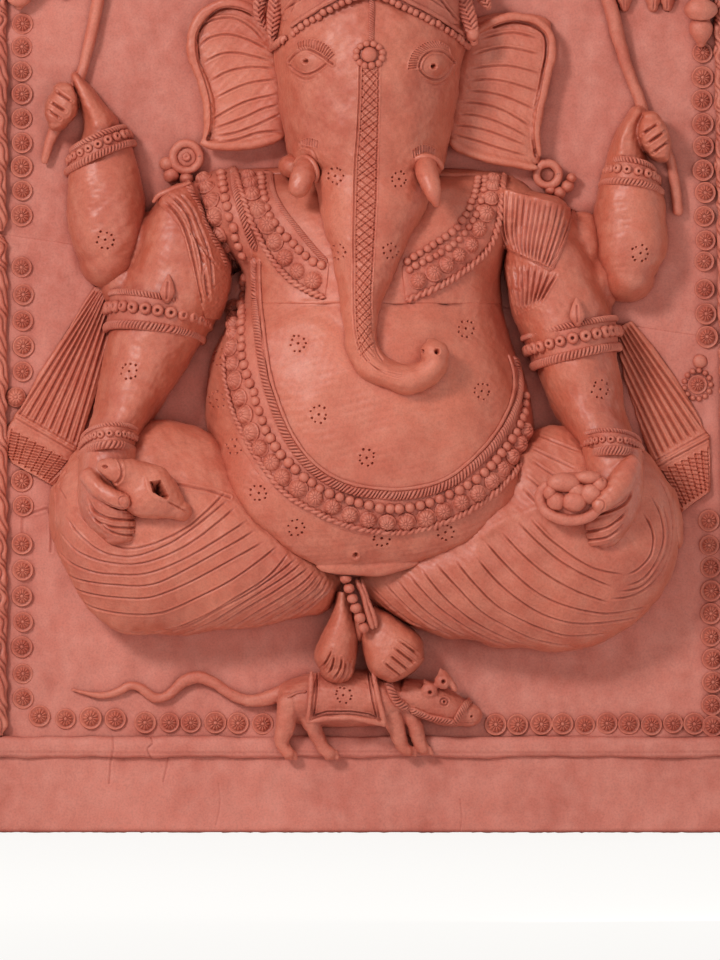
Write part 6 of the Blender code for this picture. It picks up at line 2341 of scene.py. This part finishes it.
pair("rear_hand", [
    rear_hand(PALM_LEFT, PALM_TIPS[0], FIST_LEFT, FIST_ENDS[0], FIST_CUTS[0], HAND_RIDGES[0], 121),
    rear_hand(PALM_RIGHT, PALM_TIPS[1], FIST_RIGHT, FIST_ENDS[1], FIST_CUTS[1], HAND_RIDGES[1], 122),
], POLISHED)
left_hand, _ = pair("front_hand", [
    front_hand(MITT_LEFT, MITT_ENDS[0], GROOVES_LEFT, THUMB_LEFT, 123),
    front_hand(MITT_RIGHT, MITT_ENDS[1], GROOVES_RIGHT, THUMB_RIGHT, 124),
], POLISHED)
piece("conch", conch(Ground([leg_left, left_hand])))
piece("bowl_of_sweets", bowl_of_sweets(Ground([leg_right])), TRIM)
piece("axe", axe(), TRIM)
piece("goad", goad(), TRIM)
pair("foot", feet())
piece("waist_tassel", waist_tassel(), TRIM)
piece("mouse", mouse(), TRIM)


# Border of ropes, stamped buttons and the ridge

ROPE_RADIUS = 10.5
ROPE_INSET = 12.5
RIDGE_LOW, RIDGE_HIGH, RIDGE_DEPTH = 91, 116, 10
ROSETTE_RADIUS = 13
LEFT_INSET, RIGHT_INSET = 41, 37
LEFT_PITCH, RIGHT_PITCH = 30.5, 28
BED_INNER, BED_DEPTH = 57, 4
# Runs of buttons as first and last place, x of the side columns left to the insets
LEFT_UPPER = [(972, 742)]
LEFT_LOWER = [(678, 554), (424, 392), (347, 160)]
RIGHT_UPPER = [(935, 712), (685, 623)]
RIGHT_LOWER = [(594, 594), (374, 127)]
BASE_LEFT = [((-384, 139), (-293, 136)), ((-258, 133), (-118, 132))]
BASE_RIGHT = [((164, 131), (402, 131))]
BUTTON = rosette()


def arch_curve(inset, count, depth=0.0):
    half_angle = math.asin(HALF_WIDTH / ARCH_RADIUS) - 0.012
    angles = np.linspace(-half_angle, half_angle, count)
    reach = ARCH_RADIUS - inset
    return np.column_stack(
        [reach * np.sin(angles), ARCH_CENTRE + reach * np.cos(angles), np.full(count, depth)]
    )


def base_ridge():
    xs = np.linspace(edge_x(-1, 0) + 1, edge_x(1, RIDGE_LOW) - 1, 320)
    drift = wobble(xs[:, None], 160, 301) * 1.0 + wobble(xs[:, None], 45, 302) * 0.5
    rows = [
        (x, RIDGE_HIGH + d * 0.6, x, RIDGE_LOW + d, GAP, RIDGE_DEPTH + d * 0.5) for x, d in zip(xs, drift)
    ]
    shape = skin(d_rings(np.array(rows), 30, 0, 2.6))
    shape = handled(shape, 303, 0.35, 0.1)
    relief = Relief((-450, 85), (466, 122))
    relief.line([(-297, 118), (-296, 104), (-298, 90)], 1.1, 1.2, 0.2)
    relief.line([(-252, 117), (-249, 108), (-255, 101), (-251, 90)], 0.8, 1.6, 0.1)
    relief.line([(-446, 97), (-200, 96), (0, 97), (200, 96), (462, 97)], 1.6, 0.5, 0.3)
    return carved(shape, relief, 1)


def border_rope(places, seed):
    """The thick rope of six strands that runs round the slab."""
    normals = np.tile(FLAT, (len(places), 1))
    return rope(places, normals, ROPE_RADIUS, 108, strands=6, sides=72, seed=seed, sink=0.35)


def side_rope(side, low, high, seed):
    zs = np.arange(low, high, 1.5)
    sway = wobble(zs[:, None], 120, seed) * 0.5
    xs = edge_x(side, zs) - side * ROPE_INSET + sway
    return border_rope(np.column_stack([xs, zs, np.zeros(len(zs))]), seed)


def buttons(places, seed):
    """Stamped buttons on the slab, each set a little off the line, sunk and tilted by hand."""
    chance = np.random.RandomState(seed)
    parts = []
    for x, z in places:
        size = ROSETTE_RADIUS * chance.uniform(0.93, 1.04)
        lean = FLAT + np.append(chance.normal(size=2) * 0.035, 0)
        spot = np.array([x, z, 0.4]) + np.append(chance.uniform(-1.4, 1.4, 2), 0)
        parts.append(stamped(BUTTON, spot, lean, size, chance.uniform(0, 6)))
    return parts


def evenly(first, last, pitch):
    steps = max(1, round(math.dist(first, last) / pitch)) if first != last else 0
    return [np.array(first) + (np.array(last) - first) * (i / max(steps, 1)) for i in range(steps + 1)]


def column(side, runs):
    inset, pitch = (LEFT_INSET, LEFT_PITCH) if side < 0 else (RIGHT_INSET, RIGHT_PITCH)
    found = [float(z[0]) for first, last in runs for z in evenly((first,), (last,), pitch)]
    return [(float(edge_x(side, z)) - side * inset, z) for z in found]


def ringed_button(x, z):
    """A small button in a ring of balls, where the sash meets the right column."""
    parts = [stamped(BUTTON, np.array([x, z, 0.4]), FLAT, 11.5)]
    for i in range(13):
        angle = 2 * math.pi * i / 13
        parts.append(lobe(x + 16 * math.cos(angle), z + 17 * math.sin(angle), 0.5, 3.6, 3.6, 4.2))
    return parts


def button_rows():
    rose = stamped(ROSE, np.array([-413, 523, 2.0]), FLAT, 11.5)
    plain = lobe(408, 566, 0.4, 8.5, 8.5, 8.5 * 0.55)
    rows = {
        "rosettes_left_upper": buttons(column(-1, LEFT_UPPER), 311),
        "rosettes_left_lower": buttons(column(-1, LEFT_LOWER), 312) + [rose],
        "rosettes_right_upper": buttons(column(1, RIGHT_UPPER), 313),
        "rosettes_right_lower": buttons(column(1, RIGHT_LOWER), 314) + ringed_button(405, 538) + [plain],
    }
    for word, runs, seed in (("left", BASE_LEFT, 315), ("right", BASE_RIGHT, 316)):
        rows["rosettes_base_" + word] = buttons([p for run in runs for p in evenly(*run, 27)], seed)
    return {name: closed(parts) for name, parts in rows.items()}


def arch_border():
    count = 420
    profile = [
        (ROPE_INSET + 4, GAP), (ROPE_INSET + 5, BED_DEPTH), (BED_INNER - 2, BED_DEPTH),
        (BED_INNER, BED_DEPTH - 1.6), (BED_INNER + 0.6, GAP),
    ]
    strips = [arch_curve(inset, count, depth) for inset, depth in profile]
    flat = handled(skin(np.stack(strips, axis=1)), 321, 0.3, 0.1)
    cord = border_rope(arch_curve(ROPE_INSET, 680), 322)
    line = arch_curve(39, 400, BED_DEPTH)
    middle, leans = spaced(line, np.tile(FLAT, (len(line), 1)), 29)
    chance = np.random.RandomState(323)
    parts = [flat, cord]
    for spot, lean in zip(middle, leans):
        size = ROSETTE_RADIUS * chance.uniform(0.94, 1.02)
        parts.append(stamped(BUTTON, spot, lean, size, chance.uniform(0, 6)))
    return joined(parts)


# Corner ornaments: heights of the bracket, the bud's tip and the leaf tips, and the leaves
PENDANTS = {
    -1: (1030, 990, 1002, [(378, 380), (362, 358)]),
    1: (1026, 944, 985, [(372, 369), (346, 352), (322, 317)]),
}
BUD = [(0, 9), (0.22, 10), (0.34, 12), (0.40, 19), (0.47, 21), (0.54, 18.5), (0.58, 13), (0.62, 11.5),
       (0.70, 14), (0.80, 13.5)]


def pendant(side):
    top, bud_tip, leaf_tip, leaves = PENDANTS[side]
    x = side * (HALF_WIDTH - 37)
    length = top - bud_tip
    inner = side * (leaves[-1][0] - 16)
    parts = [
        tube(curve([(side * 424, top, 10, 11), (side * 380, top + 2, 10, 12), (inner, top, 10, 10)], 2), 30)
    ]
    rows = [(x, top - length * share, 11 + reach * 0.2, reach) for share, reach in BUD]
    parts.append(tube(curve(rows + [(x, bud_tip + 3, 12, 5)], 1.2), 40, 0.9))
    middle = (top + leaf_tip) / 2 - 4
    for root, tip in leaves:
        low = (middle + leaf_tip) / 2
        rows = [
            (side * (root - 11), top - 3, side * (root + 11), top - 3, 1, 15),
            (side * (tip - 10.5), middle, side * (tip + 10.5), middle, 1, 15),
            (side * (tip - 7), low, side * (tip + 7), low, 1, 12),
        ]
        leaf = loft(rows, 1.5, 40, 8, end=(side * tip, leaf_tip))
        relief = relief_over(leaf, 3)
        relief.line(
            [(side * root, top - 6), (side * tip, middle), (side * tip, leaf_tip + 4)], 1.0, 1.4, 0.3
        )
        parts.append(cut(leaf, relief))
    return handled(closed(parts), 330 + side, 0.4)


# Crown, seen in the photograph only at its lower edge

CROWN_TIERS = [
    [(-106, 1004, 130, 1004, 0.99), (-111, 1022, 135, 1022, 0.98), (-104, 1060, 128, 1060, 0.93)],
    [(-86, 1062, 110, 1062, 0.86), (-84, 1082, 108, 1082, 0.83), (-76, 1112, 100, 1112, 0.75)],
    [(-56, 1112, 80, 1112, 0.67), (-54, 1132, 78, 1132, 0.63), (-46, 1162, 70, 1162, 0.53)],
    [(-26, 1162, 50, 1162, 0.44), (-24, 1178, 48, 1178, 0.41), (-18, 1202, 42, 1202, 0.32)],
]


def crown_tier(rows, seed, petals):
    """A drum with a rolled rim above and below and a row of upright petals round it."""
    body = loft(stations(rows, CROWN_FULL), 2.5, 90, 0, 2.4)
    parts = [body]
    ground = Ground([body])
    low, middle, high = (np.array(row, float) for row in rows)
    rims = [(low[1] + 6, 5.0, "rope"), (low[1] + 14, 3.6, "beads")]
    rims += [(high[1] - 5, 4.6, "rope"), (high[1] - 13, 3.2, "beads")]
    for z, size, kind in rims:
        left = np.interp(z, [low[1], middle[1], high[1]], [low[0], middle[0], high[0]]) + 2
        right = np.interp(z, [low[1], middle[1], high[1]], [low[2], middle[2], high[2]]) - 2
        line = [(left + (right - left) * s, z) for s in (1 - np.cos(np.linspace(0, math.pi, 15))) / 2]
        parts.append(strand(kind, line, ground, size, seed + int(z), size * 2.05))
    foot, head_height = low[1] + 20, high[1] - 20
    tall = max((head_height - foot) / 2 + 3, 8)
    leaf = ball(22, 0.5)
    leaf.points[:, 0] *= 0.42 * (1 - 0.5 * np.clip(leaf.points[:, 1], 0, 1) ** 2)
    for i in range(petals):
        s = (1 - math.cos(math.pi * (i + 0.5) / petals)) / 2
        z = (foot + head_height) / 2
        left = np.interp(z, [low[1], high[1]], [low[0], high[0]])
        right = np.interp(z, [low[1], high[1]], [low[2], high[2]])
        spot, lean = ground.touch(left + (right - left) * s, z)
        parts.append(stamped(leaf, spot, lean, tall))
    return joined(parts)


def leaf_braid(rows, seed):
    """A long ribbed leaf beside the crown: a tapering tongue with chevrons pressed in."""
    line = curve(rows, 1.2)
    shape = tube(line, 30, 0.7)
    relief = relief_over(shape, 4)
    along = unit(np.gradient(line[:, :2], axis=0))
    for i in range(4, len(line) - 2, 5):
        x, z, _, reach = line[i]
        ahead, across = along[i], np.array([-along[i, 1], along[i, 0]])
        for side in (-1, 1):
            end = np.array([x, z]) + across * side * reach - ahead * reach * 0.7
            relief.line([(x, z), end], 0.9, 1.6, 0.3, smooth=False)
    return handled(carved(shape, relief, 1), seed, 0.3)


def crown(cap):
    parts = [cap]
    for i, rows in enumerate(CROWN_TIERS):
        parts.append(crown_tier(rows, 340 + i * 10, 15 - 3 * i))
    parts.append(
        tube(
            curve(
                [
                    (12, 1196, 20, 24), (12, 1204, 20, 16), (12, 1210, 20, 17), (12, 1216, 20, 12),
                    (12, 1220, 20, 4)
                ],
                1.2
            ),
            40
        )
    )
    for i, rows in enumerate((
        [(-96, 1016, 56, 8), (-100, 996, 60, 9.5), (-104, 968, 62, 8), (-105, 946, 58, 3)],
        [(-106, 1020, 40, 7), (-117, 1002, 42, 9), (-121, 984, 42, 7), (-114, 964, 42, 3)],
        [(118, 1016, 56, 9), (124, 994, 60, 11), (132, 970, 62, 9), (137, 947, 58, 4.5)],
        [(134, 1020, 38, 7), (146, 1004, 40, 8), (154, 990, 38, 4)],
    )):
        parts.append(leaf_braid(rows, 351 + i))
    parts.append(lobe(135, 957, 62, 8, 8, 7))
    return closed(parts)


piece("base_ridge", base_ridge(), PALE)
seam_left, seam_right = SEAM_LEFT, float(seam_z(edge_x(1, SEAM_RIGHT) - ROPE_INSET))
top = SPRINGING - 15
piece("rope_left_lower", side_rope(-1, RIDGE_HIGH + 1, seam_left - 1, 361), TRIM)
piece("rope_left_upper", side_rope(-1, seam_left + 1, top, 362), TRIM)
piece("rope_right_lower", side_rope(1, RIDGE_HIGH + 1, seam_right - 1, 363), TRIM)
piece("rope_right_upper", side_rope(1, seam_right + 1, top, 364), TRIM)
piece("arch_border", arch_border(), TRIM)
for name, shape in button_rows().items():
    piece(name, shape, TRIM)
pair("pendant", [pendant(-1), pendant(1)], TRIM)
piece("crown", crown(cap_shape), TRIM)


# Studio, in metres: a pale floor and world, and soft light from the upper left

CAMERA_PLACE = (0, -24.022, -0.1764)
LENS, SENSOR, CLIP_END = 750, 36, 400
LEVEL_VIEW = (math.radians(90), 0, 0)
PAPER = (1, 0.99, 0.97, 1)
FILL = (1.0, 0.84, 0.80, 1)
FILL_STRENGTH = 0.37
FLOOR_COLOUR = (0.90, 0.89, 0.87, 1)
FLOOR_ROUGHNESS = 0.9
FLOOR_SPECULAR = 0.1
FLOOR_GLOW = 0.90
FLOOR_REACH, FLOOR_LEVEL = 30000, -0.4
# Name, place, target, size, watts and colour of each lamp
LAMPS = [
    ("key", (-3.1, -4.7, 2.8), (0.0, 0.0, -0.15), 1.3, 200, (1, 0.97, 0.94)),
    ("front_fill", (1.3, -4.5, -0.7), (0.0, 0.0, -0.2), 2.4, 42, (1, 0.93, 0.89)),
    ("back_fill", (0.8, 3.4, 2.0), (0.0, 0.0, 0.0), 2.4, 60, (1, 0.97, 0.94)),
]


def node_mix_white(tree, base, white, output_socket):
    """Mixes in white for what the camera, a reflection or a refraction sees directly."""
    nodes, links = tree.nodes, tree.links
    path = nodes.new("ShaderNodeLightPath")
    seen = path.outputs["Is Camera Ray"]
    for other in ("Is Glossy Ray", "Is Transmission Ray"):
        add = nodes.new("ShaderNodeMath")
        add.operation = "MAXIMUM"
        links.new(seen, add.inputs[0])
        links.new(path.outputs[other], add.inputs[1])
        seen = add.outputs[0]
    mix = nodes.new("ShaderNodeMixShader")
    for source, socket in zip((seen, base, white), mix.inputs):
        links.new(source, socket)
    links.new(mix.outputs[0], output_socket)


def make_floor():
    """A pale floor, its plan in millimetres, that looks white and keeps the panel's shadow."""
    signs = ((-1, -1), (1, -1), (1, 1), (-1, 1))
    corners = [(FLOOR_REACH * x, FLOOR_LEVEL, FLOOR_REACH * depth) for x, depth in signs]
    floor = bpy.data.objects.new("floor", mesh_of(Shape(corners, [(0, 1, 2, 3)]), "floor"))
    bpy.context.scene.collection.objects.link(floor)
    material = bpy.data.materials.new("pale_floor")
    material.use_nodes = True
    tree = material.node_tree
    nodes, links = tree.nodes, tree.links
    shader = nodes["Principled BSDF"]
    shader.inputs["Base Color"].default_value = FLOOR_COLOUR
    shader.inputs["Roughness"].default_value = FLOOR_ROUGHNESS
    shader.inputs["Specular IOR Level"].default_value = FLOOR_SPECULAR
    glow = nodes.new("ShaderNodeEmission")
    glow.inputs["Color"].default_value = PAPER
    glow.inputs["Strength"].default_value = 1.0
    shade = nodes.new("ShaderNodeMixShader")
    shade.inputs[0].default_value = FLOOR_GLOW
    links.new(shader.outputs[0], shade.inputs[1])
    links.new(glow.outputs[0], shade.inputs[2])
    node_mix_white(tree, shader.outputs[0], shade.outputs[0], nodes["Material Output"].inputs["Surface"])
    floor.data.materials.append(material)


def make_world():
    world = bpy.data.worlds.new("studio")
    bpy.context.scene.world = world
    world.use_nodes = True
    nodes = world.node_tree.nodes
    fill = nodes["Background"]
    fill.inputs["Color"].default_value = FILL
    fill.inputs["Strength"].default_value = FILL_STRENGTH
    white = nodes.new("ShaderNodeBackground")
    white.inputs["Color"].default_value = PAPER
    white.inputs["Strength"].default_value = 1.0
    out = nodes["World Output"].inputs["Surface"]
    node_mix_white(world.node_tree, fill.outputs[0], white.outputs[0], out)


def make_lamp(name, place, target, size, watts, colour):
    light = bpy.data.lights.new(name, "AREA")
    light.shape = "DISK"
    light.size = size
    light.energy = watts
    light.color = colour
    lamp = bpy.data.objects.new(name, light)
    lamp.location = place
    lamp.rotation_euler = (Vector(target) - Vector(place)).to_track_quat("-Z", "Y").to_euler()
    bpy.context.scene.collection.objects.link(lamp)


def make_camera():
    """The photograph's level view of the panel, from straight in front."""
    camera = bpy.data.objects.new("camera", bpy.data.cameras.new("camera"))
    bpy.context.scene.collection.objects.link(camera)
    camera.data.lens = LENS
    camera.data.sensor_width = SENSOR
    camera.data.clip_end = CLIP_END
    camera.location = CAMERA_PLACE
    camera.rotation_euler = LEVEL_VIEW
    bpy.context.scene.camera = camera
    bpy.context.scene.view_settings.view_transform = "Standard"


make_floor()
make_world()
for lamp in LAMPS:
    make_lamp(*lamp)
make_camera()
